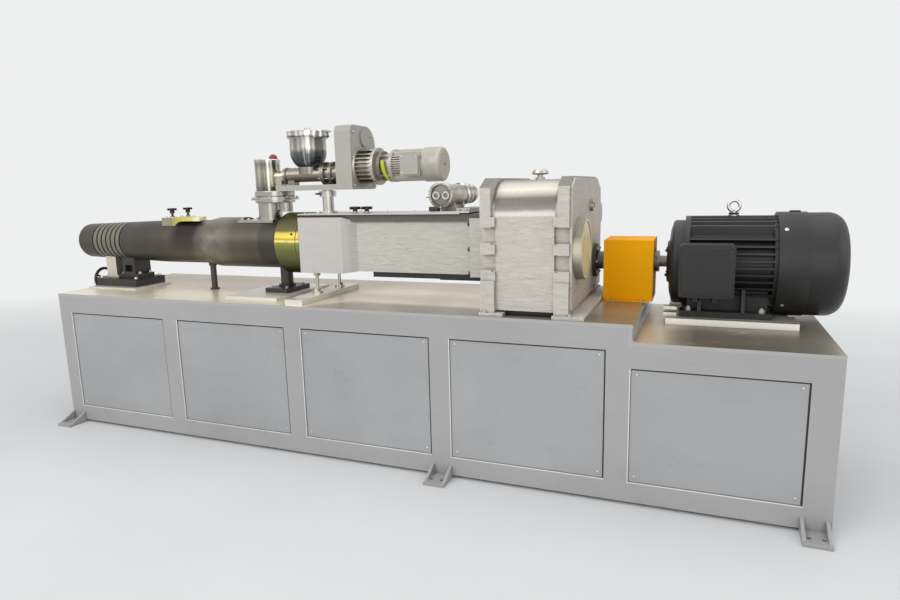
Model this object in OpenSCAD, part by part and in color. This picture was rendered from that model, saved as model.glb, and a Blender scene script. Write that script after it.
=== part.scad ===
// Floor-standing conical twin-screw plastic extruder: steel base, tapered barrel, feeder, gearbox and motor.
// Millimetres. Inside the modules X runs from the base's left end, Y from its front face, Z from the floor.

/* [Base] */
// Length of the low end of the base, which carries the motor
motor_deck_l = 747; // [700:1:1000]
// Depth of the steel base
base_d = 880; // [860:10:1100]
// Height of the upper deck above the floor
deck_z = 777; // [740:1:860]
// Height of the step between the upper deck and the motor deck
deck_step = 72; // [62:1:90]
// Thickness of the base walls
wall_t = 20; // [14:1:30]
// Thickness of the deck plates
deck_t = 12; // [8:1:20]
// Gap between the walls and the floor, also the thickness of the foot plates
foot_t = 15; // [10:1:20]
// Fillet radius in the corner of the deck step
step_fillet = 14; // [4:1:30]

/* [Panels] */
// Number of equal panels left of the step
panel_count = 4; // [2:1:4]
// Distance from the left end to the first panel
panel_first_x = 97; // [60:1:120]
// Width of the posts between the equal panels
panel_post = 106; // [80:1:300]
// Distance from the right end to the last panel
panel_end_gap = 108; // [60:1:160]
// Height of the panels' lower edge
panel_low_z = 107; // [80:1:160]
// Distance from the deck down to the panels' upper edge
panel_top_gap = 114; // [80:1:160]
// Depth of the recess that holds a panel
panel_recess = 9; // [6:1:12]
// Thickness of a panel
panel_t = 4; // [2:0.5:5]
// Gap around a panel
panel_gap = 4; // [2:0.5:8]

/* [Anchor feet] */
// Width of a foot plate
foot_w = 100; // [80:1:140]
// Distance a foot plate sticks out of the base
foot_reach = 110; // [80:1:140]
// Distance from the left end to the middle foot
foot_mid_x = 2360; // [1800:10:2600]
// Diameter of the anchor holes
foot_hole_d = 18; // [12:1:24]
// Distance between the two holes of a foot
foot_hole_pitch = 50; // [40:1:60]
// Distance from the base wall to the holes
foot_hole_out = 66; // [50:1:80]

/* [Barrel] */
// Distance from the base's front to the screw axis
axis_y = 365; // [340:1:440]
// Height of the screw axis above the upper deck
axis_up = 280; // [260:1:320]
// Distance the barrel sticks out beyond the base's left end
barrel_out = 125; // [60:1:160]
// Length of the tapered barrel
barrel_l = 1525; // [1500:5:1540]
// Barrel radius at the outlet end
tip_r = 104; // [98:1:110]
// Barrel radius along the neck
neck_r = 124; // [118:1:130]
// Barrel radius at the drive end
root_r = 140; // [135:1:150]
// Distance from the outlet to the start of the neck
neck_at = 645; // [560:5:700]
// Distance from the outlet to the shoulder
shoulder_at = 975; // [960:5:1000]
// Length of the shoulder
shoulder_l = 80; // [40:5:110]
// Rounding of the outlet edge
tip_edge = 25; // [10:1:35]
// Number of grooves near the outlet
groove_n = 7; // [3:1:8]
// Distance between the grooves
groove_pitch = 38; // [30:1:40]
// Width of a groove
groove_w = 12; // [6:1:16]
// Depth of a groove
groove_depth = 6; // [3:0.5:8]
// Diameter of each screw bore at the outlet
bore_d = 65; // [50:1:70]
// Distance between the two screw bores at the outlet
bore_gap = 52; // [44:1:56]
// Depth of the open bores
bore_depth = 420; // [200:10:500]
// Bolt circle for the die
die_pcd = 164; // [150:1:170]
// Radius of the die bolt holes
die_hole_r = 6.8; // [5:0.1:8]

/* [Coupling flange] */
// Radius of the flange between barrel and distribution box
flange_r = 165; // [155:1:180]
// Length of that flange
flange_l = 155; // [120:1:160]

/* [Distribution box] */
// Overall length of the distribution box
box_l = 1050; // [1000:5:1060]
// Length of its front block
block_l = 255; // [220:1:300]
// Length of the slope behind the front block
block_slope = 70; // [40:1:100]
// Width of the front block and of the rear flange
block_w = 320; // [300:1:340]
// Width of the waist
waist_w = 250; // [220:1:280]
// Length of the rear flange
rear_flange_l = 110; // [80:1:140]
// Half the height of the front block
block_up = 142; // [136:1:150]
// Height of the gap between the front block and the top of the cover plate
cover_gap = 18; // [14:1:30]
// Thickness of the cover plate
cover_t = 5; // [3:0.5:8]
// Distance from the end of the cover plate to the gearbox
cover_back = 160; // [130:5:200]

/* [Gearbox] */
// Length of the gearbox along the machine
gear_l = 395; // [380:1:400]
// Distance from the gearbox to the base's front and back faces
gear_front = 30; // [15:1:40]
// Height of the gearbox above the upper deck
gear_h = 593; // [570:1:620]
// Thickness of each end plate
end_plate_t = 48; // [40:1:60]
// Radius of the rounded top front of the casing
drum_r = 170; // [150:1:180]
// Height of the foot pads
pad_h = 15; // [10:1:20]
// Radius of the large bearing cover
bearing_r = 133; // [110:1:140]

/* [Drive] */
// Distance from the base's back to the motor axis
drive_in = 225; // [220:1:240]
// Shaft height of the motor
motor_h = 225; // [224:1:232]
// Height of the rails under the motor
rail_h = 28; // [24:1:40]
// Distance from the gearbox to the motor's drive end
coupling_l = 348; // [330:1:400]
// Distance from the step in the deck to the motor's drive end
motor_gap = 95; // [90:1:110]
// Distance from the fins down to the motor's rails
motor_lift = 7; // [5:1:15]
// Depth of the motor's fins
fin_depth = 32; // [22:1:40]
// Length of the drive-end bell
bell_l = 77; // [60:1:100]
// Length of the finned frame
frame_l = 383; // [360:1:400]
// Distance the fan cowl stands out over the fins
cowl_over = 12; // [6:1:14]
// Length of the fan cowl
cowl_l = 271; // [240:1:280]
// Number of fins on each side of the motor
fin_n = 9; // [5:1:11]
// Distance between the fins
fin_pitch = 31; // [24:1:32]
// Thickness of a fin
fin_t = 8; // [5:0.5:12]
// Length of the coupling guard
guard_l = 228; // [200:1:240]
// Width of the coupling guard
guard_w = 250; // [230:1:260]
// Height of the coupling guard
guard_h = 292; // [285:1:320]
// Radius of the coupling flanges
coupling_r = 80; // [60:1:85]

/* [Feeder] */
// Distance from the distribution box's front back to the hopper axis
bowl_back = 15; // [5:1:30]
// Radius of the hopper bowl
bowl_r = 95; // [88:1:108]
// Wall thickness of the hopper bowl
bowl_t = 3; // [2:0.5:5]
// Height of the straight part of the bowl
bowl_straight = 71; // [50:1:90]
// Height of the feeder plate's underside above the cover plate
feeder_up = 119; // [90:1:140]
// Thickness of the feeder plate
feeder_t = 28; // [12:1:34]
// Width of the feeder plate
feeder_w = 200; // [180:1:220]
// Height of the feed screw above the feeder plate
screw_up = 57; // [50:1:66]
// Radius of the feed screw tube
screw_r = 38; // [30:1:44]
// Length of the gear case along the machine
case_l = 90; // [80:1:100]
// Depth of the gear case
case_d = 260; // [230:1:280]
// Height of the gear case
case_h = 319; // [300:1:330]
// Height of the feeder motor's axis above the case's underside
feeder_motor_up = 112; // [108:1:130]
// Radius of the round reducer
reducer_r = 99; // [90:1:105]
// Radius of the feeder motor's cowl
feeder_cowl_r = 83; // [75:1:90]

/* [Feed inlet] */
// Distance from the barrel's drive end back to the feed vessel
vessel_back = 129; // [125:1:145]
// Radius of the feed vessel
vessel_r = 68; // [60:1:70]
// Height of the upper feed vessel
vessel_h = 169; // [150:1:190]
// Radius of the flange disc
disc_r = 128; // [115:1:130]
// Distance from the outlet end to the vent cover
vent_at = 683; // [660:1:690]
// Length of the vent cover
vent_l = 282; // [270:1:290]
// Radius of the drain pipe under the barrel
drain_r = 17; // [12:1:22]

/* [Oil cooler] */
// Distance from the gearbox back to the oil cooler
cooler_back = 248; // [225:1:275]
// Length of the oil cooler
cooler_l = 440; // [380:1:460]
// Radius of the oil cooler's end ring
cooler_r = 62; // [50:1:64]

/* [Handwheel] */
// Radius of the handwheel
wheel_r = 75; // [60:1:85]
// Radius of the handwheel's round rim
wheel_rim = 9; // [6:1:11]

/* [Hidden] */
$fn = 64;
fit = 0.3;
tip_x = -barrel_out;
root_x = tip_x + barrel_l;
box_x = root_x + flange_l;
gear_x = box_x + box_l;
gear_end = gear_x + gear_l;
gear_d = base_d - 2 * gear_front;
gear_back = gear_front + gear_d;
motor_x = gear_end + coupling_l;
step_x = motor_x - motor_gap;
base_l = step_x + motor_deck_l;
panel_pitch = (step_x - panel_first_x) / panel_count;
panel_w = panel_pitch - panel_post;
motor_deck_z = deck_z - deck_step;
cover_up = block_up + cover_gap;
cover_l = box_l - cover_back;
bowl_x = box_x - bowl_back;
vessel_x = root_x - vessel_back;
cooler_x = gear_x - cooler_back;
drive_y = base_d - drive_in;
motor_r = motor_h - motor_lift;
core_r = motor_r - fin_depth;
cowl_r = motor_r + cowl_over;
gear_top = deck_z + gear_h;
axis_z = deck_z + axis_up;
cover_z = axis_z + cover_up;
drive_z = motor_deck_z + rail_h + motor_h;
frame_x = motor_x + bell_l;
cowl_x = frame_x + frame_l;
cowl_end = cowl_x + cowl_l;
feeder_z = cover_z + feeder_up;
plate_top = feeder_z + feeder_t;
screw_z = plate_top + screw_up;
bowl_z = screw_z + 18 + bowl_r;
rim_z = bowl_z + bowl_straight;
rim_h = 30;
lid_z = rim_z + rim_h + fit;
lid_t = 6;
case_x = bowl_x + 225;
case_y = axis_y - 105;
reducer_x = case_x + case_l;
reducer_l = 110;
feeder_motor_z = feeder_z + feeder_motor_up;
vent_x = tip_x + vent_at;
flat_up = 113;
feed_x = vessel_x - 160;
feed_l = 232;
feed_z = axis_z + flat_up;
vent_z = axis_z + 142;
vent_knob = [67, 61];
disc_z = feed_z + 120;
disc_x = vessel_x + 37;
vessel_z = disc_z + 48;
slide_l = 356;
slide_out = 18;
slide_w = 224;
pad_front_l = 384;
slide_z = deck_z + 10;
slide_h = 45;
post_z = slide_z + slide_h;
wheel_x = -slide_out - 32;
wheel_z = slide_z + slide_h / 2 + 3;
rail_z = motor_deck_z + rail_h;
jack_z = deck_z + 25;
rail_l = 535;
rail_mid = 110;
rail_out = 270;
knob_x = [250, 319];
box_depth = 94;
pad_over = 58;
oil_boss = [474, 459];
input_r = 84;
box_pad = motor_r + 6;
mid_x = (tip_x + cowl_end) / 2;
last_panel_w = base_l - step_x - panel_end_gap;
foot_xs = [0, foot_mid_x, base_l - foot_w - 10];

// Moves the machine so that the origin is the middle of its footprint on the floor
module at_origin() {
    translate([-mid_x, -base_d / 2, 0]) children();
}

// A block given by its two limits on each axis
module span(x, y, z) {
    translate([x[0], y[0], z[0]]) cube([x[1] - x[0], y[1] - y[0], z[1] - z[0]]);
}

// A round bar along X that starts at the given point
module bar_x(p, r, l) {
    translate(p) rotate([0, 90, 0]) cylinder(r = r, h = l);
}

// A round bar along Y that starts at the given point
module bar_y(p, r, l) {
    translate(p) rotate([-90, 0, 0]) cylinder(r = r, h = l);
}

// An outline drawn in Y and Z and pulled along X
module pull_x(x, l) {
    translate([x, 0, 0]) rotate([90, 0, 90]) linear_extrude(l) children();
}

// An outline drawn in X and Z and pulled along Y
module pull_y(y, l) {
    translate([0, y + l, 0]) rotate([90, 0, 0]) linear_extrude(l) children();
}

// A square with four rounded corners
module soft_square(w, h, r) {
    translate([r, 0]) square([w - 2 * r, h]);
    translate([0, r]) square([w, h - 2 * r]);
    for (x = [r, w - r], y = [r, h - r]) translate([x, y]) circle(r);
}

module wall_outline() {
    polygon([
        [0, foot_t],
        [base_l, foot_t],
        [base_l, motor_deck_z - deck_t],
        [step_x - deck_t, motor_deck_z - deck_t],
        [step_x - deck_t, deck_z - deck_t],
        [0, deck_z - deck_t]
    ]);
}

// Calls its child once for every panel of a long side with the panel's place and size
module panel_places(grow) {
    for (i = [0 : panel_count - 1]) {
        translate([panel_first_x + i * panel_pitch - grow, 0, panel_low_z - grow])
            cube([panel_w + 2 * grow, panel_t + grow, deck_z - panel_top_gap - panel_low_z + 2 * grow]);
    }
    translate([step_x - grow, 0, panel_low_z - grow])
        cube([last_panel_w + 2 * grow, panel_t + grow,
            motor_deck_z - panel_top_gap - panel_low_z + 2 * grow]);
}

module recess_places() {
    for (i = [0 : panel_count - 1]) {
        translate([panel_first_x + i * panel_pitch - panel_gap, -1, panel_low_z - panel_gap])
            cube([panel_w + 2 * panel_gap, panel_recess + 1,
                deck_z - panel_top_gap - panel_low_z + 2 * panel_gap]);
    }
    translate([step_x - panel_gap, -1, panel_low_z - panel_gap])
        cube([last_panel_w + 2 * panel_gap, panel_recess + 1,
            motor_deck_z - panel_top_gap - panel_low_z + 2 * panel_gap]);
}

module long_wall() {
    difference() {
        pull_y(0, wall_t) wall_outline();
        recess_places();
    }
}

module long_panels() {
    translate([0, panel_recess - panel_t, 0]) panel_places(0);
}

module across() {
    children();
    translate([0, base_d, 0]) mirror([0, 1, 0]) children();
}

module side_walls() {
    at_origin() color("#b0b1b0") across() long_wall();
}

end_panel = [wall_t + 90, base_d - wall_t - 90];

module end_walls() {
    at_origin() color("#b0b1b0") {
        difference() {
            span([0, wall_t], [wall_t, base_d - wall_t], [foot_t, deck_z - deck_t]);
            span([-1, panel_recess], end_panel, [panel_low_z - panel_gap, deck_z - panel_top_gap + panel_gap]);
        }
        difference() {
            span([base_l - wall_t, base_l], [wall_t, base_d - wall_t], [foot_t, motor_deck_z - deck_t]);
            span([base_l - panel_recess, base_l + 1], end_panel,
                [panel_low_z - panel_gap, motor_deck_z - panel_top_gap + panel_gap]);
        }
    }
}

module panels() {
    low = panel_low_z;
    inner = [end_panel[0] + panel_gap, end_panel[1] - panel_gap];
    at_origin() color("#b4b5b4") {
        across() long_panels();
        span([panel_recess - panel_t, panel_recess], inner, [low, deck_z - panel_top_gap]);
        span([base_l - panel_recess, base_l - panel_recess + panel_t], inner,
            [low, motor_deck_z - panel_top_gap]);
    }
}

module upper_deck() {
    at_origin() color("#9a9790") span([0, step_x], [0, base_d], [deck_z - deck_t, deck_z]);
}

module motor_deck() {
    at_origin() color("#8f8b82") pull_y(0, base_d) {
        translate([step_x - deck_t, motor_deck_z - deck_t]) square([base_l - step_x + deck_t, deck_t]);
        translate([step_x - deck_t, motor_deck_z - deck_t]) square([deck_t, deck_z - motor_deck_z]);
        difference() {
            translate([step_x - 1, motor_deck_z - 1]) square(step_fillet + 1);
            translate([step_x + step_fillet, motor_deck_z + step_fillet]) circle(step_fillet);
        }
    }
}

module anchor_foot() {
    gusset_t = 12;
    gusset_h = 47;
    difference() {
        span([0, foot_w], [-foot_reach, 60], [0, foot_t]);
        for (s = [-1, 1])
            translate([foot_w / 2 + s * foot_hole_pitch / 2, -foot_hole_out, -1])
                cylinder(d = foot_hole_d, h = foot_t + 2);
    }
    for (x = [0, foot_w - gusset_t])
        pull_x(x, gusset_t) polygon([[0, foot_t], [0, foot_t + gusset_h], [15 - foot_reach, foot_t]]);
}

module anchor_feet() {
    at_origin() color("#b0b1b0") across() for (x = foot_xs) translate([x, 0, 0]) anchor_foot();
}

// The barrel's outside with a little room, used to fit the pieces that touch it
module barrel_room() {
    translate([tip_x, axis_y, axis_z]) rotate([0, 90, 0]) rotate_extrude() barrel_side(fit);
}

// Half of the barrel's outline, grown by the given room
module barrel_side(room) {
    polygon([[0, 0], [tip_r + room, 0], [tip_r + room, tip_edge], [neck_r + room, neck_at],
        [neck_r + room, shoulder_at], [root_r + room, shoulder_at + shoulder_l], [root_r + room, barrel_l],
        [0, barrel_l]]);
}

module barrel_profile() {
    difference() {
        barrel_side(0);
        difference() {
            translate([tip_r - tip_edge, -1]) square([tip_edge + 1, tip_edge + 1]);
            translate([tip_r - tip_edge, tip_edge]) circle(tip_edge);
        }
        for (i = [0 : groove_n - 1])
            translate([tip_r - groove_depth + 2.2 + i, 133 + i * groove_pitch]) square([20, groove_w]);
    }
}

module barrel() {
    at_origin() color("#4b4842") difference() {
        translate([tip_x, axis_y, axis_z]) rotate([0, 90, 0]) rotate_extrude() barrel_profile();
        for (s = [-1, 1])
            bar_x([tip_x - 1, axis_y + s * bore_gap / 2, axis_z], bore_d / 2, bore_depth + 1);
        for (a = [22.5 : 45 : 359])
            bar_x([tip_x - 1, axis_y + die_pcd / 2 * cos(a), axis_z + die_pcd / 2 * sin(a)],
                die_hole_r, 41);
        span([feed_x, feed_x + feed_l], [0, base_d], [feed_z, feed_z + 60]);
        span([vent_x + 90, vent_x + 190], [axis_y - 32, axis_y + 32], [axis_z + 60, axis_z + 160]);
    }
}

module barrel_flange() {
    at_origin() color("#8d8440") difference() {
        translate([root_x, axis_y, axis_z]) rotate([0, 90, 0]) rotate_extrude()
            polygon([[0, 0], [flange_r - 4, 0], [flange_r, 4], [flange_r, flange_l - 26],
                [flange_r - 5, flange_l - 26], [flange_r - 5, flange_l - 18], [flange_r, flange_l - 18],
                [flange_r, flange_l - 4], [flange_r - 4, flange_l], [0, flange_l]]);
        for (a = [-20, 200, 110])
            translate([root_x + 107, axis_y, axis_z]) rotate([a, 0, 0]) translate([0, -flange_r, 0])
                rotate([90, 0, 0]) translate([0, 0, -30]) cylinder(d = 16, h = 40);
    }
}

module vent_cover() {
    half = 80;
    block = 88;
    arch_r = 56;
    plate = 20;
    drop = 46;
    slant = 96;
    at_origin() color("#a3a05a") difference() {
        pull_y(axis_y - half, 2 * half) translate([vent_x, vent_z]) difference() {
            translate([0, -drop]) square([vent_l, drop]);
            translate([block + arch_r, -plate - arch_r]) circle(arch_r);
            translate([block + arch_r, -plate - arch_r]) square([vent_l, arch_r]);
        }
        barrel_room();
        translate([vent_x, axis_y, vent_z - drop - 1]) linear_extrude(drop + 2)
            polygon([[vent_l, -half - 1], [vent_l + 1, -half - 1], [vent_l + 1, half + 1],
                [vent_l - slant, half + 1]]);
    }
}

// A black clamping knob on a steel stud that stands on the given height
module star_knob(p) {
    translate(p) {
        cylinder(r = 12, h = 11, $fn = 6);
        translate([0, 0, 11]) cylinder(r = 6, h = 13);
        translate([0, 0, 24]) cylinder(r = 13, h = 20);
        translate([0, 0, 42]) intersection() {
            cylinder(r = 26, h = 12);
            for (a = [0 : 60 : 179]) rotate([0, 0, a]) translate([-27, -8, 0]) cube([54, 16, 12]);
        }
    }
}

module star_knobs() {
    at_origin() color("#22211f") {
        for (s = [-1, 1]) star_knob([vent_x + vent_knob[0], axis_y + s * vent_knob[1], vent_z]);
        for (x = knob_x) translate([box_x + x, axis_y, cover_z]) {
            cylinder(r = 12, h = 16);
            translate([0, 0, 16]) intersection() {
                cylinder(r = 30, h = 14);
                for (a = [0 : 60 : 179]) rotate([0, 0, a]) translate([-30, -9, 0]) cube([60, 18, 14]);
            }
        }
    }
}

module feed_chute() {
    half = 85;
    at_origin() color("#b9b6a8") {
        difference() {
            span([feed_x, feed_x + feed_l], [axis_y - half, axis_y + half], [feed_z, feed_z + 14]);
            for (x = [feed_x + 18, feed_x + 60], y = [axis_y - half + 18, axis_y + half - 18])
                translate([x, y, feed_z - 1]) cylinder(d = 9, h = 16);
        }
        translate([vessel_x, axis_y, feed_z + 14]) cylinder(r = vessel_r - 4, h = disc_z - feed_z - 29);
        translate([vessel_x, axis_y, feed_z + 14]) cylinder(r = vessel_r, h = 8);
        translate([vessel_x + 104, axis_y, disc_z - 65]) cylinder(r = 37, h = 50);
        span([vessel_x, vessel_x + 104], [axis_y - 20, axis_y + 20], [disc_z - 55, disc_z - 15]);
    }
}

module feed_clamp() {
    ring_r = disc_r - 21;
    at_origin() color("#a8a595") translate([disc_x, axis_y, disc_z]) rotate_extrude()
        polygon([[0, -15], [ring_r - 3, -15], [ring_r, -12], [ring_r, -4], [ring_r - 5, -4], [ring_r - 5, 0],
            [disc_r, 0], [disc_r, 12], [ring_r - 3, 12], [ring_r - 3, 18], [ring_r, 22], [ring_r, 44],
            [ring_r - 4, 48], [0, 48]]);
}

module feed_vessel() {
    at_origin() color("#c4c1b3") {
        translate([vessel_x, axis_y, vessel_z]) rotate_extrude()
            polygon([[0, 0], [vessel_r, 0], [vessel_r, vessel_h - 14], [vessel_r + 3, vessel_h - 14],
                [vessel_r + 3, vessel_h - 4], [vessel_r - 1, vessel_h], [0, vessel_h]]);
        bar_x([vessel_x, axis_y, screw_z - 6], 29, bowl_x - 145 - vessel_x);
        bar_x([bowl_x - 157, axis_y, screw_z - 6], 40, 12);
        span([vessel_x, bowl_x - 165], [axis_y - 26, axis_y + 26], [vessel_z, screw_z - 6]);
    }
}

module vessel_cap() {
    at_origin() color("#8e1f2e") translate([vessel_x + 42, axis_y, vessel_z + vessel_h]) rotate_extrude()
        polygon([[0, 0], [23, 0], [23, 9], [17, 20], [9, 26], [0, 27]]);
}

module drain_pipe() {
    x = tip_x + shoulder_at - 15;
    at_origin() color("#241c18") difference() {
        translate([x, axis_y, deck_z]) {
            cylinder(r = drain_r, h = axis_up);
            cylinder(r = drain_r + 9, h = 8);
            translate([0, 0, axis_up - neck_r - 16]) cylinder(r = drain_r + 6, h = 40);
        }
        barrel_room();
    }
}

module deck_pads() {
    at_origin() color("#c3c0b8") {
        span([0, pad_front_l], [axis_y - 162, axis_y + 113], [deck_z, slide_z]);
        span([vessel_x - 131, vessel_x + 199], [axis_y - 268, axis_y + 235], [deck_z, deck_z + pad_h]);
        span([box_x + 15, box_x + 115], [gear_front, axis_y + 235], [deck_z, jack_z]);
    }
}

module front_slide() {
    half = slide_w / 2;
    at_origin() color("#2c2b29") difference() {
        span([-slide_out, slide_l - slide_out], [axis_y - half, axis_y + half], [slide_z, post_z]);
        for (s = [-1, 1])
            translate([-slide_out, axis_y + s * half, slide_z - 1]) rotate([0, 0, 45])
                translate([-22, -22, 0]) cube([44, 44, slide_h + 2]);
        for (y = [axis_y - half + 40, axis_y + half - 52])
            span([-slide_out - 1, slide_l - slide_out + 1], [y, y + 12], [post_z - 8, post_z + 1]);
    }
}

module front_post() {
    at_origin() color("#b7ae9c") difference() {
        union() {
            span([50, 130], [axis_y - 58, axis_y + 58], [post_z, axis_z]);
            span([40, 140], [axis_y - 58, axis_y + 58], [post_z, post_z + 14]);
        }
        barrel_room();
    }
}

module front_pedestal() {
    at_origin() color("#262523") difference() {
        union() {
            span([185, 285], [axis_y - 60, axis_y + 60], [post_z, axis_z]);
            span([160, 310], [axis_y - 60, axis_y + 60], [post_z, post_z + 26]);
        }
        barrel_room();
        pull_y(axis_y - 61, 34) translate([205, post_z + 40]) soft_square(60, 40, 8);
        pull_y(axis_y + 27, 34) translate([205, post_z + 40]) soft_square(60, 40, 8);
    }
}

module handwheel() {
    spoke_r = 6;
    at_origin() color("#1f1e1c") {
        translate([wheel_x, axis_y, wheel_z]) rotate([0, 90, 0]) {
            rotate_extrude() translate([wheel_r - wheel_rim, 0]) circle(wheel_rim);
            translate([0, 0, -12]) cylinder(r = 17, h = 24);
            for (a = [0 : 120 : 359])
                rotate([0, 0, a]) rotate([0, 90, 0]) cylinder(r = spoke_r, h = wheel_r - wheel_rim);
        }
        bar_x([wheel_x, axis_y, wheel_z], 10, -slide_out - fit - wheel_x);
    }
}

module rear_post() {
    x = root_x - 50;
    top = deck_z + pad_h;
    at_origin() color("#34322f") difference() {
        union() {
            span([x - 64, x + 78], [axis_y - 115, axis_y + 100], [top, top + 24]);
            translate([x, axis_y, top + 24]) cylinder(r = 34, h = axis_z - top - 24);
            translate([x, axis_y, top + 24]) cylinder(r = 46, h = 12);
        }
        barrel_room();
        bar_x([root_x, axis_y, axis_z], flange_r + fit, flange_l);
    }
}

module jack_rods() {
    x = box_x + 65;
    base = jack_z;
    top = axis_z - block_up;
    at_origin() color("#8b8880") for (s = [-1, 1]) translate([x, axis_y + s * 110, base]) {
        cylinder(r = 28, h = 12);
        cylinder(r = 9, h = top - base);
        translate([0, 0, top - base - 20]) cylinder(r = 20, h = 20, $fn = 6);
        translate([0, 0, 12]) cylinder(r = 19, h = 15, $fn = 6);
    }
}

// The lower right quarter of a disc, which turns into a round bottom
module half_disc(r) {
    intersection() {
        circle(r);
        translate([0, -r]) square(r);
    }
}

module hopper_bowl() {
    rim_r = bowl_r + 12;
    outlet_r = 30;
    at_origin() color("#8d8f90") {
        translate([bowl_x, axis_y, bowl_z]) rotate_extrude() difference() {
            union() {
                half_disc(bowl_r);
                square([bowl_r, bowl_straight]);
                translate([0, bowl_straight - 2]) square([bowl_r + 4, 5]);
                translate([0, bowl_straight]) square([rim_r, rim_h]);
            }
            half_disc(bowl_r - bowl_t);
            translate([0, -1]) square([bowl_r - bowl_t, bowl_straight + rim_h + 2]);
            translate([0, -bowl_r - 1]) square([outlet_r, bowl_r]);
        }
        for (s = [-1, 1])
            span([bowl_x + rim_r - 12, bowl_x + rim_r + 2], [axis_y + s * 34 - 6, axis_y + s * 34 + 6],
                [rim_z + 4, rim_z + rim_h]);
        span([bowl_x - rim_r - 8, bowl_x - rim_r + 8], [axis_y - 16, axis_y + 16], [rim_z + 2, rim_z + 26]);
    }
}

// The lid turns about a pin along Y at its right-hand edge
module hopper_lid() {
    lid_r = bowl_r + 13;
    pin_x = bowl_x + lid_r + 6;
    at_origin() color("#9ea0a0") {
        translate([bowl_x, axis_y, lid_z]) rotate_extrude()
            polygon([[0, 0], [lid_r, 0], [lid_r, lid_t - 2], [lid_r - 4, lid_t], [0, lid_t]]);
        translate([bowl_x, axis_y, lid_z + lid_t]) cylinder(r = 6, h = 8);
        translate([bowl_x, axis_y, lid_z + lid_t + 7]) cylinder(r = 14, h = 12);
        span([pin_x - 16, pin_x + 4], [axis_y - 48, axis_y + 48], [lid_z, lid_z + lid_t]);
        bar_y([pin_x, axis_y - 48, lid_z + lid_t / 2 + 1], 5, 96);
    }
}

module screw_tube() {
    left = bowl_x - 145;
    collar_x = bowl_x + 95;
    collar_r = screw_up + 3;
    at_origin() color("#8c8a84") difference() {
        union() {
            bar_x([left, axis_y, screw_z - 6], 45, 14);
            bar_x([left, axis_y, screw_z - 2], screw_r, collar_x - left);
            translate([bowl_x, axis_y, screw_z]) cylinder(r = 56, h = 60);
            span([left + 20, left + 60], [axis_y - 25, axis_y + 25], [plate_top, screw_z - 2]);
            bar_x([collar_x, axis_y, screw_z], collar_r, 20);
            bar_x([collar_x + 20, axis_y, screw_z], 46, 30);
            bar_x([collar_x + 50, axis_y, screw_z], collar_r, 16);
            bar_x([collar_x + 66, axis_y, screw_z], 50, case_x - collar_x - 66);
            for (a = [30 : 60 : 359])
                bar_x([collar_x - 14, axis_y + 52.5 * cos(a), screw_z + 52.5 * sin(a)], 5, 94);
        }
        translate([bowl_x, axis_y, bowl_z]) sphere(bowl_r + fit);
        span([0, base_l], [0, base_d], [plate_top - 90, plate_top]);
    }
}

module case_outline() {
    r_back = 95;
    r_front = 36;
    r_low = 24;
    difference() {
        translate([case_y, feeder_z]) square([case_d, case_h]);
        translate([case_y + case_d - r_back, feeder_z + case_h - r_back]) difference() {
            square(r_back + 1);
            circle(r_back);
        }
        translate([case_y + r_front, feeder_z + case_h - r_front]) difference() {
            translate([-r_front - 1, 0]) square(r_front + 1);
            circle(r_front);
        }
        translate([case_y + case_d - r_low, feeder_z + r_low]) difference() {
            translate([0, -r_low - 1]) square(r_low + 1);
            circle(r_low);
        }
    }
}

module gear_case() {
    at_origin() color("#b4b2ac") {
        pull_x(case_x, case_l) case_outline();
        bar_x([reducer_x, axis_y + 40, feeder_z + case_h - 60], 44, 8);
    }
}

module reducer() {
    fins = 8;
    fin_step = 20;
    at_origin() color("#8a8882") translate([reducer_x, axis_y, feeder_motor_z]) rotate([0, 90, 0]) {
        cylinder(r = reducer_r, h = 14);
        cylinder(r = reducer_r - 18, h = reducer_l - 8);
        translate([0, 0, reducer_l - 14]) cylinder(r = reducer_r - 6, h = 14);
        intersection() {
            cylinder(r = reducer_r - 4, h = reducer_l - 10);
            for (i = [-fins / 2 : fins / 2])
                translate([i * fin_step - 3, -reducer_r, 0]) cube([6, 2 * reducer_r, reducer_l - 10]);
        }
    }
}

module feeder_motor() {
    adapter_l = 96;
    fin_l = 160;
    cowl = 95;
    at_origin() color("#a9a8a3") translate([reducer_x + reducer_l, axis_y, feeder_motor_z]) rotate([0, 90, 0]) {
        cylinder(r = 60, h = adapter_l);
        translate([0, 0, 16]) cylinder(r = 74, h = 12);
        translate([0, 0, adapter_l - 16]) cylinder(r = feeder_cowl_r - 3, h = 16);
        for (a = [45 : 90 : 359])
            rotate([0, 0, a]) translate([66, 0, 28]) cylinder(r = 7, h = adapter_l - 44);
        translate([0, 0, adapter_l]) {
            cylinder(r = feeder_cowl_r - 19, h = fin_l);
            intersection() {
                cylinder(r = feeder_cowl_r - 5, h = fin_l);
                union() {
                    for (i = [-4 : 4]) translate([i * 11 - 2, -90, 0]) cube([4, 180, fin_l]);
                    for (i = [-4 : 4]) translate([-90, i * 11 - 2, 0]) cube([180, 4, fin_l]);
                }
            }
        }
        translate([0, 0, adapter_l + fin_l]) rotate_extrude()
            polygon([[0, 0], [feeder_cowl_r, 0], [feeder_cowl_r, cowl - 12], [feeder_cowl_r - 4, cowl - 4],
                [feeder_cowl_r - 11, cowl], [0, cowl]]);
    }
}

module feeder_terminal_box() {
    x = reducer_x + reducer_l + 152;
    depth = 22;
    back = axis_y - feeder_cowl_r + 5 - fit;
    at_origin() color("#b2b1ac") {
        pull_y(back - depth + 8, depth - 8) translate([x, feeder_motor_z - 52]) soft_square(104, 104, 8);
        pull_y(back - depth, 8) translate([x + 6, feeder_motor_z - 46]) soft_square(92, 92, 10);
    }
}

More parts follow.
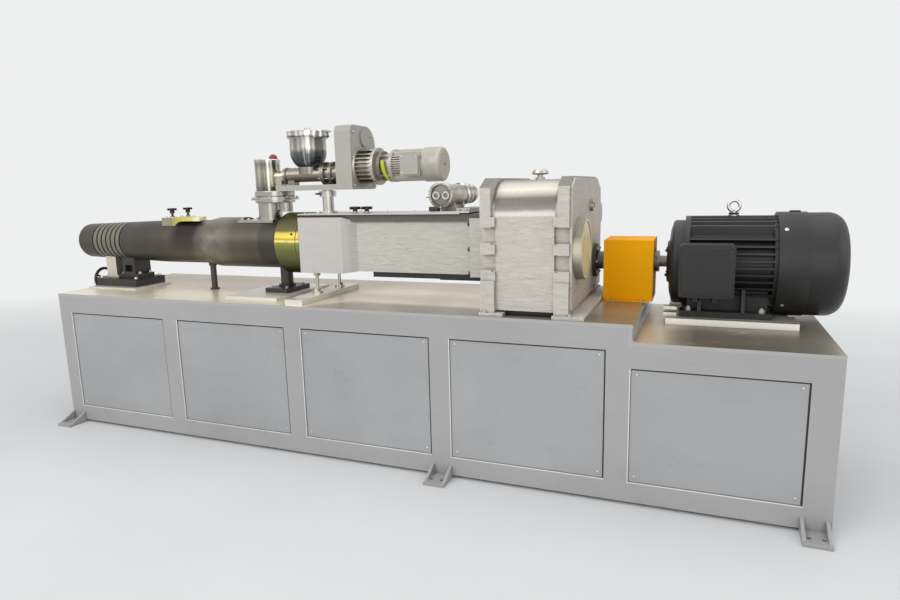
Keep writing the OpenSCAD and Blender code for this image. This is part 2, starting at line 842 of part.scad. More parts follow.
module feeder_plate() {
    left = bowl_x - 150;
    at_origin() color("#b7b5ad") difference() {
        span([left, case_x], [axis_y - feeder_w / 2, axis_y + feeder_w / 2], [feeder_z, plate_top]);
        span([left - 1, case_x - 60], [axis_y - feeder_w / 2 + 12, axis_y + feeder_w / 2 - 12],
            [feeder_z - 1, plate_top - 10]);
    }
}

module feeder_column() {
    x = bowl_x + 105;
    at_origin() color("#b9b8b4") {
        translate([x, axis_y, cover_z]) cylinder(r = 30, h = plate_top - 10 - cover_z);
        translate([x, axis_y, cover_z]) cylinder(r = 50, h = 8);
        difference() {
            translate([x, axis_y, feeder_z - 34]) cylinder(r = 44, h = 30);
            span([x - 60, x - 30.2], [axis_y - 3, axis_y + 3], [feeder_z - 40, feeder_z]);
        }
        bar_y([x - 38, axis_y - 62, feeder_z - 19], 6, 60);
    }
}

module box_plan() {
    half = block_w / 2;
    waist = waist_w / 2;
    a = block_l;
    b = block_l + block_slope;
    c = box_l - rear_flange_l;
    polygon([[0, -half], [a, -half], [b, -waist], [c, -waist], [c, -half], [box_l, -half],
        [box_l, half], [c, half], [c, waist], [b, waist], [a, half], [0, half]]);
}

module box_side() {
    a = block_l;
    b = block_l + block_slope;
    c = box_l - rear_flange_l;
    up = block_up;
    polygon([[0, -up], [a, -up], [b, 10 - up], [c, 10 - up], [c, 3 - up], [box_l, 3 - up],
        [box_l, up - 7], [c, up - 7], [c, up - 22], [b, up - 22], [a, up], [0, up]]);
}

module box_solid() {
    translate([box_x, axis_y, axis_z]) intersection() {
        translate([0, 0, -200]) linear_extrude(400) box_plan();
        translate([0, 200, 0]) rotate([90, 0, 0]) linear_extrude(400) box_side();
    }
}

module distribution_box() {
    at_origin() color("#cdc8c0") box_solid();
}

module cover_rim() {
    half = block_w / 2 - 22;
    at_origin() color("#5f5d58") difference() {
        span([box_x + 20, gear_x], [axis_y - half, axis_y + half], [axis_z + block_up - 22, cover_z - cover_t]);
        box_solid();
    }
}

module cover_plate() {
    half = block_w / 2;
    at_origin() color("#b5b3ae") difference() {
        span([box_x, box_x + cover_l], [axis_y - half, axis_y + half], [cover_z - cover_t, cover_z]);
        for (x = [box_x + 40 : 162 : box_x + cover_l - 20], y = [axis_y - half + 12, axis_y + half - 12])
            translate([x, y, cover_z - 2.5]) cylinder(d = 14, h = 4);
    }
}

// Outline of the gearbox end plates, drawn in Y and Z
module end_outline() {
    low = deck_z + pad_h;
    polygon([[gear_front, low], [gear_back, low], [gear_back, gear_top - 180],
        [gear_back - 20, gear_top - 48], [gear_back - 141, gear_top], [gear_front + 82, gear_top],
        [gear_front, gear_top - 41]]);
}

module core_outline() {
    front = gear_front + 15;
    back = gear_back - 15;
    top = gear_top - 10;
    translate([front, deck_z + 24]) square([back - front, top - drum_r - deck_z - 24]);
    translate([front + drum_r, top - drum_r - 1]) square([back - front - 2 * drum_r, drum_r + 1]);
    intersection() {
        translate([front, top - drum_r - 1]) square([back - front, drum_r + 1]);
        union() {
            translate([front + drum_r, top - drum_r]) circle(drum_r);
            translate([back - drum_r, top - drum_r]) circle(drum_r);
        }
    }
}

module gear_leg(x, w) {
    span([x, x + w], [gear_front - 8, gear_front + 110], [deck_z + pad_h, deck_z + 154]);
    span([x, x + w], [gear_back - 110, gear_back + 8], [deck_z + pad_h, deck_z + 154]);
}

module gearbox_casing() {
    pocket_h = 68;
    pocket_w = 65;
    leg_w = 62;
    right = gear_end - 10;
    at_origin() color("#cfcac2") {
        difference() {
            union() {
                pull_x(gear_x, end_plate_t) end_outline();
                pull_x(right - end_plate_t, end_plate_t) end_outline();
                pull_x(gear_x + end_plate_t, right - gear_x - 2 * end_plate_t) core_outline();
                gear_leg(gear_x, leg_w);
                gear_leg(right - leg_w, leg_w);
                for (z = [deck_z + 154, deck_z + 270, deck_z + 388], s = [0, 1])
                    translate([s * (right - gear_x - pocket_w), 0, 0])
                        span([gear_x, gear_x + pocket_w],
                            [gear_front, gear_back], [z, z + 40]);
            }
            for (z = [deck_z + 200, deck_z + 316], s = [0, 1], t = [0, 1])
                translate([s * (right - gear_x - pocket_w), t * (gear_d - 34), 0])
                    span([gear_x - (1 - s), gear_x + pocket_w + s],
                        [gear_front - 1 + t, gear_front + 34 + t], [z, z + pocket_h]);
        }
        for (x = [gear_x - 5, right - leg_w - 5])
            span([x, x > gear_x ? gear_end + pad_over : x + leg_w + 45], [gear_front - 22, gear_back + 22],
                [deck_z, deck_z + pad_h]);
    }
}

module end_cover() {
    at_origin() color("#cbc6bd") pull_x(gear_end - 10, 10) {
        polygon([[gear_front + 12, deck_z + 40], [gear_back - 6, deck_z + 40], [gear_back - 6, gear_top - 190],
            [gear_back - 26, gear_top - 58], [gear_back - 145, gear_top - 6], [gear_front + 86, gear_top - 6],
            [gear_front + 12, gear_top - 44]]);
        translate([gear_back - 6, gear_top - 185]) circle(52);
    }
}

module bearing_covers() {
    cy = gear_front + 150;
    cz = axis_z + 5;
    at_origin() color("#c6c1b4") {
        translate([gear_end, cy, cz]) rotate([0, 90, 0]) rotate_extrude()
            polygon([[0, 0], [bearing_r, 0], [bearing_r, 32], [bearing_r - 5, 38], [bearing_r - 16, 38],
                [bearing_r - 19, 35], [0, 35]]);
        translate([gear_end, drive_y, drive_z]) rotate([0, 90, 0]) rotate_extrude()
            polygon([[0, 0], [input_r, 0], [input_r, 14], [input_r - 4, 18], [input_r - 28, 18],
                [input_r - 32, 22], [0, 22]]);
        difference() {
            bar_x([gear_end, gear_front + oil_boss[0], deck_z + oil_boss[1]], 27, 16);
            bar_x([gear_end + 4, gear_front + oil_boss[0], deck_z + oil_boss[1]], 16, 20);
        }
    }
}

module breather() {
    at_origin() color("#c9c7c0") translate([gear_x + 185, axis_y, gear_top - 10]) rotate_extrude()
        polygon([[0, 0], [22, 0], [22, 10], [13, 12], [13, 22], [36, 24], [38, 30], [34, 42], [20, 49], [0, 50]]);
}

module oil_cooler() {
    y = axis_y - 165;
    z = cover_z + 83;
    at_origin() color("#aeaba0") {
        translate([cooler_x, y, z]) rotate([-90, 0, 0]) rotate_extrude()
            polygon([[0, 10], [cooler_r - 14, 10], [cooler_r - 12, 0], [cooler_r - 3, 0], [cooler_r, 3],
                [cooler_r, 24], [cooler_r - 6, 28], [cooler_r - 6, 66], [cooler_r - 12, 70],
                [cooler_r - 12, cooler_l - 190], [cooler_r - 6, cooler_l - 188], [cooler_r - 6, cooler_l - 166],
                [cooler_r - 18, cooler_l - 164], [cooler_r - 18, cooler_l - 130], [cooler_r - 10, cooler_l - 128],
                [cooler_r - 10, cooler_l - 106], [cooler_r - 20, cooler_l - 104], [cooler_r - 20, cooler_l - 64],
                [cooler_r - 12, cooler_l - 62], [cooler_r - 12, cooler_l - 40], [cooler_r - 30, cooler_l - 38],
                [cooler_r - 30, cooler_l], [0, cooler_l]]);
        for (s = [-1, 1]) difference() {
            bar_y([cooler_x + s * 24, y + 2, z - 2], 18, 10);
            bar_y([cooler_x + s * 24, y, z - 2], 10, 8);
        }
        bar_x([cooler_x - cooler_r - 16, y + 14, z - 4], 7, 18);
    }
}

module cooler_bracket() {
    y = axis_y - 165;
    z = cover_z + 83;
    at_origin() color("#b3b0a6") difference() {
        union() {
            span([cooler_x - 60, box_x + cover_l + 48], [y + 6, y + 360], [cover_z, cover_z + 8]);
            span([cooler_x - 34, cooler_x + 34], [y + 84, y + 104], [cover_z + 8, z]);
            span([cooler_x - 34, cooler_x + 34], [y + 210, y + 230], [cover_z + 8, z]);
            span([cooler_x + 60, box_x + cover_l + 40], [y + 40, y + 300], [cover_z + 8, cover_z + 20]);
        }
        bar_y([cooler_x, y - 1, z], cooler_r - 12 + fit, cooler_l);
    }
}

module coupling_guard() {
    sheet = 3;
    x0 = gear_end + pad_over + 4;
    y0 = drive_y - guard_w / 2;
    at_origin() color("#dc9b00") difference() {
        union() {
            difference() {
                span([x0, x0 + guard_l], [y0, y0 + guard_w], [deck_z, deck_z + guard_h]);
                span([x0 + sheet, x0 + guard_l - sheet], [y0 + sheet, y0 + guard_w - sheet],
                    [deck_z - 1, deck_z + guard_h - sheet]);
            }
            for (y = [y0 - 24, y0 + guard_w - sheet])
                span([x0 + 20, x0 + guard_l - 20], [y, y + 24 + sheet], [deck_z, deck_z + sheet]);
        }
        bar_x([x0 - 1, drive_y, drive_z], 62, guard_l + 2);
    }
}

module drive_coupling() {
    x0 = gear_end + 22 + fit;
    at_origin() color("#5a5852") translate([x0, drive_y, drive_z]) rotate([0, 90, 0]) {
        span_l = motor_x - fit - x0;
        cylinder(r = 27, h = span_l);
        cylinder(r = 44, h = 78);
        translate([0, 0, 78]) cylinder(r = coupling_r, h = 46);
        translate([0, 0, 128]) cylinder(r = coupling_r, h = 46);
        translate([0, 0, 174]) cylinder(r = 51, h = span_l - 174 - 36);
        for (a = [0 : 45 : 359])
            rotate([0, 0, a]) translate([coupling_r - 18, 0, 70]) cylinder(r = 8, h = 112);
    }
}

module fin_band(l) {
    reach = (fin_n - 1) / 2;
    intersection() {
        cylinder(r = motor_r, h = l);
        union() {
            for (i = [-reach : reach])
                translate([i * fin_pitch - fin_t / 2, -motor_r, 0]) cube([fin_t, 2 * motor_r, l]);
            for (i = [-reach : reach])
                translate([-motor_r, i * fin_pitch - fin_t / 2, 0]) cube([2 * motor_r, fin_t, l]);
        }
    }
}

module motor_foot(y0, y1) {
    foot_x = frame_x - 10;
    foot_l = frame_l - 4;
    difference() {
        span([foot_x, foot_x + foot_l], [y0, y1], [rail_z, rail_z + 26]);
        for (x = [foot_x + 38, foot_x + foot_l - 40])
            translate([x, (y0 + y1) / 2, rail_z - 1]) cylinder(d = 19, h = 28);
    }
}

module motor_frame() {
    at_origin() color("#3a3a3a") {
        translate([frame_x, drive_y, drive_z]) rotate([0, 90, 0]) {
            cylinder(r = core_r, h = frame_l);
            fin_band(frame_l);
            cylinder(r = motor_r, h = 22);
            translate([0, 0, frame_l - 16]) cylinder(r = motor_r - 4, h = 16);
        }
        translate([motor_x, drive_y, drive_z]) rotate([0, 90, 0]) rotate_extrude()
            polygon([[0, 0], [96, 0], [104, 10], [150, 13], [190, 24], [198, 33], [198, bell_l], [0, bell_l]]);
        span([frame_x + 14, frame_x + 178], [drive_y - box_pad, drive_y - core_r + 40], [drive_z - 90, drive_z + 80]);
        motor_foot(drive_y - motor_r + 1, drive_y - 128);
        motor_foot(drive_y + 128, drive_y + motor_r - 1);
        for (x = [frame_x + 66, frame_x + 246], s = [-1, 1])
            pull_x(x, 14) polygon([[drive_y + s * 128, rail_z + 26], [drive_y + s * 205, rail_z + 26],
                [drive_y + s * 185, drive_z - 90], [drive_y + s * 150, drive_z - 90]]);
        for (s = [-1, 1])
            pull_x(frame_x + 20, frame_l - 50) polygon([[drive_y + s * 128, rail_z + 26],
                [drive_y + s * 150, rail_z + 26], [drive_y + s * 150, drive_z - 104],
                [drive_y + s * 128, drive_z - 130]]);
        translate([frame_x + 205, drive_y, drive_z + motor_r - 8]) cylinder(r = 22, h = 22);
        translate([frame_x + 205, drive_y, drive_z + motor_r + 44]) rotate([90, 0, 0])
            rotate_extrude() translate([24, 0]) circle(7);
        translate([frame_x + 205, drive_y, drive_z + motor_r + 10]) cylinder(r = 9, h = 14);
    }
}

module motor_cowl() {
    turn = cowl_l - 202;
    at_origin() color("#3d3d3d") translate([cowl_x, drive_y, drive_z]) rotate([0, 90, 0]) difference() {
        rotate_extrude() difference() {
            union() {
                square([cowl_r, cowl_l - turn]);
                square([cowl_r - turn, cowl_l]);
                intersection() {
                    translate([cowl_r - turn, cowl_l - turn]) circle(turn);
                    translate([cowl_r - turn - 1, cowl_l - turn - 1]) square([turn + 2, turn + 2]);
                }
            }
            for (r = [56 : 20 : cowl_r - turn - 14]) translate([r, cowl_l - 10]) square([9, 11]);
        }
        translate([0, 0, cowl_l - 11]) cylinder(r = 30, h = 4);
    }
}

module motor_terminal_box() {
    x = frame_x - 16;
    low = drive_z - 120;
    at_origin() color("#373737") {
        pull_y(drive_y - box_pad - box_depth, box_depth) translate([x, low]) soft_square(224, 230, 14);
        pull_y(drive_y - box_pad - box_depth - 8, 8) translate([x + 14, low + 14]) soft_square(196, 202, 16);
        for (dx = [70, 150])
            translate([x + dx, drive_y - box_pad - 48, low - 22]) cylinder(r = 20, h = 23, $fn = 6);
    }
}

module motor_rails() {
    x0 = motor_x + 12;
    at_origin() color("#8f8c86") {
        span([x0, x0 + rail_l], [drive_y - rail_out, drive_y - rail_mid], [motor_deck_z, rail_z]);
        span([x0, x0 + rail_l], [drive_y + rail_mid, drive_y + motor_r + 2], [motor_deck_z, rail_z]);
        difference() {
            span([x0 - 14, x0 + 44], [drive_y - 205, drive_y - 155], [rail_z, rail_z + 42]);
            span([x0 - 15, x0 + 45], [drive_y - 206, drive_y - 170], [rail_z + 14, rail_z + 28]);
        }
    }
}

side_walls();
end_walls();
upper_deck();
motor_deck();
panels();
anchor_feet();
barrel();
barrel_flange();
vent_cover();
star_knobs();
feed_chute();
feed_clamp();
feed_vessel();
vessel_cap();
drain_pipe();
deck_pads();
front_slide();
front_post();
front_pedestal();
handwheel();
rear_post();
jack_rods();
hopper_bowl();
hopper_lid();
screw_tube();
gear_case();
reducer();
feeder_motor();
feeder_terminal_box();
feeder_plate();
feeder_column();
distribution_box();
cover_rim();
cover_plate();
gearbox_casing();
end_cover();
bearing_covers();
breather();
oil_cooler();
cooler_bracket();
coupling_guard();
drive_coupling();
motor_frame();
motor_cowl();
motor_terminal_box();
motor_rails();
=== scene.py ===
import logging
import math
from dataclasses import dataclass
from enum import Enum
from functools import cache
from itertools import product
from typing import Iterable, Iterator, Sequence

import bmesh
import bpy
from mathutils import Matrix, Vector


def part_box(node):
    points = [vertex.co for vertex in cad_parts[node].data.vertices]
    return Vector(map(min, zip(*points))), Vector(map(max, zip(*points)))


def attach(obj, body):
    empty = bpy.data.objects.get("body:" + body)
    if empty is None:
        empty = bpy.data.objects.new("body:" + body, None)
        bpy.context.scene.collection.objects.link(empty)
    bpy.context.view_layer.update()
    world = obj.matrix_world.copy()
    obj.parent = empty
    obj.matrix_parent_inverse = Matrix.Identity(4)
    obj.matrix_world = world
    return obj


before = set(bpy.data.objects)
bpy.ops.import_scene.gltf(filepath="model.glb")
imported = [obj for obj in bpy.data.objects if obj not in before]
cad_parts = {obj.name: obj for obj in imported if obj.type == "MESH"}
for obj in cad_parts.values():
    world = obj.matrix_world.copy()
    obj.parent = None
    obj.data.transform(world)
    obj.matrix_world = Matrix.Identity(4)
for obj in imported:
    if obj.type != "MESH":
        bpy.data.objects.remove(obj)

LOG = logging.getLogger("extruder")
Color = tuple[float, float, float]
Point = tuple[float, float, float]
Stops = tuple[tuple[float, Color], ...]
Profile = Sequence[tuple[float, float]]
Socket = bpy.types.NodeSocket
Value = Socket | Color | float
Takes = dict[str | int, Value]
MACHINE = "machine"
BACKDROP: Color = (0.86, 0.865, 0.87)
SKY: Color = (0.86, 0.87, 0.88)
SKY_POWER = 0.42
EVEN: Point = (1.0, 1.0, 1.0)
TINY = 1e-4


def srgb(*screen: int) -> Color:
    """Turns red, green and blue from 0 to 255, as on a screen, into the linear values that shaders take."""
    parts = (value / 255.0 for value in screen)
    return tuple(part / 12.92 if part <= 0.04045 else ((part + 0.055) / 1.055) ** 2.4 for part in parts)


def shade(color: Color, factor: float) -> Color:
    """Returns the colour made lighter or darker by a factor."""
    return color[0] * factor, color[1] * factor, color[2] * factor


def bands(*marks: tuple[float, int, int, int]) -> Stops:
    """Turns marks, each a place from 0 to 1 and a screen colour, into the stops of a ramp."""
    return tuple((place, srgb(*color)) for place, *color in marks)


def looking(place: Sequence[float], way: Sequence[float]) -> Matrix:
    """Makes a placement whose Z axis points a given way."""
    turn = Vector(way).to_track_quat("Z", "Y").to_matrix().to_4x4()
    return Matrix.Translation(Vector(place)) @ turn


def turns(steps: int) -> list[float]:
    """Returns the angles that part a full turn into steps."""
    return [2.0 * math.pi * i / steps for i in range(steps)]


class Facing(Enum):
    """The way a fastener or a disc looks."""

    LEFT = (-1.0, 0.0, 0.0)
    RIGHT = (1.0, 0.0, 0.0)
    FRONT = (0.0, -1.0, 0.0)
    BACK = (0.0, 1.0, 0.0)
    UP = (0.0, 0.0, 1.0)

    def at(self, place: Sequence[float]) -> Matrix:
        """Makes a placement that looks this way."""
        return looking(place, self.value)


class Head(Enum):
    """The heads of fasteners: steps round and profile of each turned part, in thread diameters."""

    HEX = ((24, ((0.0, 0.0), (1.05, 0.0), (1.05, 0.14), (0.86, 0.16))),
           (6, ((0.86, 0.16), (0.8944, 0.2), (0.8944, 0.7), (0.7568, 0.78), (0.0, 0.78))),
           (16, ((0.5, 0.78), (0.5, 1.0), (0.42, 1.08), (0.0, 1.08))))
    SOCKET = ((24, ((0.0, 0.0), (0.78, 0.0), (0.78, 0.9), (0.7176, 1.0), (0.46, 1.0), (0.44, 0.45),
                    (0.0, 0.4))),)
    PAN = ((20, ((0.0, 0.0), (0.95, 0.0), (0.893, 0.26), (0.627, 0.46), (0.19, 0.52), (0.171, 0.3),
                 (0.0, 0.28))),)


class Nodes:
    """Adds and links the nodes of one node tree."""

    def __init__(self, tree: bpy.types.NodeTree) -> None:
        """Keeps the tree."""
        self.tree = tree

    def wire(self, node: bpy.types.Node, takes: Takes) -> None:
        """Links sockets to a node's inputs, and sets plain values and colours on them.

        Args:
            node: the node.
            takes: what goes into each input, by the input's name or number.
        """
        for key, value in takes.items():
            target = node.inputs[key]
            if isinstance(value, bpy.types.NodeSocket):
                self.tree.links.new(value, target)
            else:
                target.default_value = (*value, 1.0) if target.type == "RGBA" else value

    def add(self, kind: str, takes: Takes, gives: str | int = 0, **settings: object) -> Socket:
        """Adds a node.

        Args:
            kind: the node's type name after its ShaderNode.
            takes: what goes into each input, by the input's name or number.
            gives: the name or number of the output to return.
            **settings: properties that are set on the node.

        Returns:
            The output.
        """
        made = self.tree.nodes.new(f"ShaderNode{kind}")
        for key, value in settings.items():
            setattr(made, key, value)
        self.wire(made, takes)
        return made.outputs[gives]


class Graph(Nodes):
    """Builds the shader of one material."""

    def __init__(self, name: str) -> None:
        """Starts a material.

        Args:
            name: the material's name.
        """
        self.material = bpy.data.materials.new(name)
        self.material.use_nodes = True
        super().__init__(self.material.node_tree)
        self.shader = self.tree.nodes["Principled BSDF"]
        self.coords = self.tree.nodes.new("ShaderNodeTexCoord").outputs

    def place(self, stretch: Point = EVEN) -> Socket:
        """Gives the object coordinates, scaled along each axis."""
        return self.add("Mapping", {"Scale": stretch, "Vector": self.coords["Object"]}, "Vector")

    def noise(self, scale: float, detail: float = 4.0, stretch: Point = EVEN) -> Socket:
        """Adds noise of a scale per metre, with a number of finer layers and a stretch along each axis."""
        takes = {"Scale": scale, "Detail": detail, "Roughness": 0.6, "Vector": self.place(stretch)}
        return self.add("TexNoise", takes, "Fac")

    def levels(self, value: Socket, low: float, high: float, out_low: float = 0.0,
               out_high: float = 1.0) -> Socket:
        """Stretches a value, so that low and high become out_low and out_high, and clamps it there."""
        takes = {"Value": value, "From Min": low, "From Max": high, "To Min": out_low, "To Max": out_high}
        return self.add("MapRange", takes, "Result")

    def plus(self, first: Value, second: Value) -> Socket:
        """Adds two values."""
        return self.add("Math", {0: first, 1: second}, "Value", operation="ADD")

    def times(self, first: Value, second: Value) -> Socket:
        """Multiplies two values."""
        return self.add("Math", {0: first, 1: second}, "Value", operation="MULTIPLY")

    def mix(self, factor: Socket, first: Value, second: Value) -> Socket:
        """Mixes two colours, from 0 for the first to 1 for the second."""
        return self.add("Mix", {"Factor": factor, 6: first, 7: second}, 2, data_type="RGBA")

    def axis(self, name: str) -> Socket:
        """Returns the object coordinate along X, Y or Z."""
        return self.add("SeparateXYZ", {"Vector": self.coords["Object"]}, name)

    def facing(self, name: str) -> Socket:
        """Returns how far a surface faces along X, Y or Z, from -1 to 1."""
        return self.add("SeparateXYZ", {"Vector": self.coords["Normal"]}, name)

    def inside(self, name: str, low: float, high: float, soft: float = 0.004) -> Socket:
        """Returns 1 between two places on an axis and 0 outside them, with soft ends."""
        place = self.axis(name)
        return self.times(self.levels(place, low - soft, low + soft),
                          self.levels(place, high + soft, high - soft))

    def damp(self, value: Socket, mask: Socket, rest: float) -> Socket:
        """Brings a value down to a part of itself where a mask is 1."""
        return self.times(value, self.levels(mask, 0.0, 1.0, 1.0, rest))

    def ramp(self, value: Socket, stops: Stops) -> Socket:
        """Turns a value into a colour by a row of stops.

        Args:
            value: the value from 0 to 1.
            stops: pairs of a place on the ramp and its colour.

        Returns:
            The colour.
        """
        made = self.tree.nodes.new("ShaderNodeValToRGB")
        marks = made.color_ramp.elements
        while len(marks) < len(stops):
            marks.new(0.5)
        for mark, (place, color) in zip(marks, stops):
            mark.position = place
            mark.color = (*color, 1.0)
        self.wire(made, {"Fac": value})
        return made.outputs["Color"]

    def streaks(self, center: tuple[float, float]) -> Socket:
        """Adds a pattern that changes only with the direction round an upright axis.

        Args:
            center: X and Y of the axis.

        Returns:
            Its value.
        """
        moved = self.add("Mapping", {"Location": (-center[0], -center[1], 0.0), "Scale": (1.0, 1.0, 0.0),
                                     "Vector": self.coords["Object"]}, "Vector")
        unit = self.add("VectorMath", {0: moved}, "Vector", operation="NORMALIZE")
        return self.add("TexNoise", {"Scale": 2.6, "Detail": 3.0, "Vector": unit}, "Fac")

    def patches(self, color: Value, over: Value, scale: float, detail: float, low: float, high: float,
                amount: float = 1.0, stretch: Point = EVEN) -> Socket:
        """Lays one colour over another in patches of noise.

        Args:
            color: the colour below.
            over: the colour of the patches.
            scale: how fine the noise is, per metre.
            detail: the number of its finer layers.
            low: the noise at which a patch begins.
            high: the noise at which it is full.
            amount: how much a full patch covers.
            stretch: the noise's scale along each axis.

        Returns:
            The mixed colour.
        """
        return self.mix(self.levels(self.noise(scale, detail, stretch), low, high, 0.0, amount), color, over)

    def edges(self, color: Value, over: Value, amount: float) -> Socket:
        """Lays one colour over another along the edges.

        Args:
            color: the colour below.
            over: the colour of the edges.
            amount: how much it covers.

        Returns:
            The mixed colour.
        """
        bevel = self.add("Bevel", {"Radius": 0.003}, "Normal", samples=4)
        flat = self.add("NewGeometry", {}, "Normal")
        likeness = self.add("VectorMath", {0: bevel, 1: flat}, "Value", operation="DOT_PRODUCT")
        return self.mix(self.times(self.levels(likeness, 0.97, 0.8), amount), color, over)

    def nook_shade(self, color: Value, over: Value, reach: float, amount: float) -> Socket:
        """Lays one colour over another in corners and crevices as painted shade, as far out of them as the
        reach.
        """
        dark = self.add("AmbientOcclusion", {"Distance": reach}, "AO", samples=4)
        return self.mix(self.times(self.levels(dark, 0.85, 0.35), amount), color, over)

    def gloss(self, scale: float, detail: float, low: float, high: float) -> Socket:
        """Gives a roughness that drifts between two values with noise of the given scale and detail."""
        return self.levels(self.noise(scale, detail), 0.3, 0.7, low, high)

    def dress(self, color: Value, roughness: Value, metallic: Value, height: Socket | None = None,
              depth: float = 0.0) -> bpy.types.Material:
        """Sets the shader's main inputs.

        Args:
            color: the base colour.
            roughness: the roughness.
            metallic: 0 for paint, 1 for bare metal.
            height: the relief from 0 to 1, or None.
            depth: the relief's height of 1, in metres.

        Returns:
            The finished material.
        """
        self.wire(self.shader, {"Base Color": color, "Roughness": roughness, "Metallic": metallic})
        if height is not None:
            relief = self.add("Bump", {"Strength": 1.0, "Distance": depth, "Height": height}, "Normal")
            self.wire(self.shader, {"Normal": relief})
        return self.material


@dataclass(frozen=True)
class Finish:
    """A named finish, which every kind builds in its own way."""

    name: str

    def build(self) -> bpy.types.Material:
        """Builds the material and returns it."""
        raise NotImplementedError(self.name)


@cache
def material_of(finish: Finish) -> bpy.types.Material:
    """Builds a finish's material on its first use and returns it."""
    return finish.build()


@dataclass(frozen=True)
class Enamel(Finish):
    """Sprayed machine paint with faint mottling, dust and handling marks, painted shade in its corners and,
    where a side colour is given, painted shade on the faces that don't look to the front.
    """

    color: Color
    roughness: float = 0.42
    mottle: float = 0.07
    dust: float = 0.12
    peel: float = 0.00025
    edge: Color | None = None
    # colour of the faces that don't look to the front: painted shade
    side: Color | None = None
    shine: float = 0.5

    def build(self) -> bpy.types.Material:
        """Builds the material.

        Returns:
            The material.
        """
        graph = Graph(self.name)
        graph.wire(graph.shader, {"Specular IOR Level": self.shine})
        dull, pale = shade(self.color, 1.0 - self.mottle), shade(self.color, 1.0 + self.mottle)
        color = graph.patches(dull, pale, 1.6, 6.0, 0.3, 0.7)
        dark = shade(self.color, 0.62)
        color = graph.patches(color, dark, 7.0, 8.0, 0.56, 0.74, self.dust, (0.35, 1.0, 1.6))
        # faces that don't look to the front take the side colour: painted shade
        if self.side is not None:
            color = graph.mix(graph.levels(graph.facing("Y"), -0.7, -0.4), color, self.side)
        if self.edge is not None:
            color = graph.edges(color, self.edge, 0.75)
        # painted shade in corners and crevices
        color = graph.nook_shade(color, shade(self.color, 0.3), 0.02, 0.5)
        rough = graph.gloss(5.0, 5.0, self.roughness - 0.08, self.roughness + 0.1)
        return graph.dress(color, rough, 0.0, graph.noise(420.0, 2.0), self.peel)


@dataclass(frozen=True)
class Putty(Finish):
    """Cast iron under filler and paint, dragged on in rough level strokes, with painted highlights on the
    ridges, painted shade on faces that look towards +X and in corners, and an optional smooth drum with
    painted reflection bands and painted shade on the upward faces above its foot.
    """

    color: Color
    stroke: float = 0.011
    roughness: float = 0.5
    smooth_to: float | None = None
    drum: tuple[float, float, float, float] | None = None

    def build(self) -> bpy.types.Material:
        """Builds the material.

        Returns:
            The material.
        """
        graph = Graph(self.name)
        strokes = graph.noise(24.0, 6.0, (0.6, 0.8, 2.4))
        ridges = graph.levels(graph.noise(46.0, 3.0, (0.3, 0.4, 1.6)), 0.54, 0.68)
        lumps = graph.noise(13.0, 5.0)
        height = graph.times(strokes, 0.55)
        for part, weight in ((lumps, 0.6), (ridges, 0.16), (graph.noise(210.0, 3.0), 0.07)):
            height = graph.plus(height, graph.times(part, weight))
        color = graph.mix(graph.levels(strokes, 0.35, 0.7), shade(self.color, 0.93), shade(self.color, 1.06))
        # ridges painted lighter: painted highlight on the relief
        color = graph.mix(graph.times(ridges, 0.22), color, shade(self.color, 1.2))
        color = graph.patches(color, shade(self.color, 0.76), 3.2, 7.0, 0.56, 0.76, 0.4)
        color = graph.edges(color, srgb(236, 233, 226), 0.6)
        # faces that look towards +X painted darker: painted shade
        color = graph.mix(graph.levels(graph.facing("X"), 0.12, 0.5), color, shade(self.color, 0.82))
        # painted shade in corners and crevices
        color = graph.nook_shade(color, srgb(96, 88, 78), 0.012, 0.75)
        rough = graph.levels(lumps, 0.3, 0.7, self.roughness - 0.1, self.roughness + 0.1)
        if self.smooth_to is not None:
            even = graph.levels(graph.axis("X"), self.smooth_to + 0.01, self.smooth_to - 0.01)
            height = graph.damp(height, even, 0.3)
            color = graph.mix(graph.times(even, 0.6), color, srgb(188, 184, 184))
        if self.drum is not None:
            left, right, low, high = self.drum
            above = high + 1.0
            # upward faces above the drum's foot painted darker: painted shade
            slope = graph.times(graph.levels(graph.facing("Z"), 0.3, 0.5),
                                graph.inside("Z", low + 0.05, above))
            color = graph.mix(slope, color, srgb(122, 117, 109))
            # the drum's colour bands are painted reflections
            mask = graph.times(graph.inside("X", left, right), graph.inside("Z", low, above))
            wave = graph.times(graph.noise(5.0, 4.0, (1.0, 1.0, 0.4)), 0.1)
            place = graph.plus(graph.levels(graph.axis("Z"), low, high, -0.05, 0.95), wave)
            color = graph.mix(mask, color, graph.ramp(place, DRUM_REFLECTION_BANDS))
            rough = graph.damp(rough, mask, 0.6)
            height = graph.damp(height, mask, 0.12)
        return graph.dress(color, rough, 0.0, height, self.stroke)


@dataclass(frozen=True)
class Steel(Finish):
    """Bare steel with grinding lines, stains, uneven gloss and bright edges."""

    color: Color
    roughness: float = 0.34
    grain: Point = (0.6, 26.0, 26.0)
    grain_depth: float = 0.00012
    stain_and_shadow: Color = (0.16, 0.12, 0.08)
    stain_amount: float = 0.35
    metallic: float = 0.9
    bright: float = 0.5

    def build(self) -> bpy.types.Material:
        """Builds the material.

        Returns:
            The material.
        """
        graph = Graph(self.name)
        lines = graph.noise(22.0, 5.0, self.grain)
        cloud = graph.levels(graph.noise(2.3, 7.0), 0.32, 0.7)
        color = graph.mix(cloud, shade(self.color, 0.84), shade(self.color, 1.12))
        color = graph.mix(graph.levels(lines, 0.3, 0.75, 0.0, 0.35), color, shade(self.color, 0.7))
        color = graph.patches(color, self.stain_and_shadow, 4.1, 9.0, 0.55, 0.76, self.stain_amount)
        color = graph.edges(color, srgb(240, 237, 230), self.bright)
        rough = graph.levels(cloud, 0.0, 1.0, self.roughness + 0.12, self.roughness - 0.08)
        return graph.dress(color, rough, self.metallic, lines, self.grain_depth)


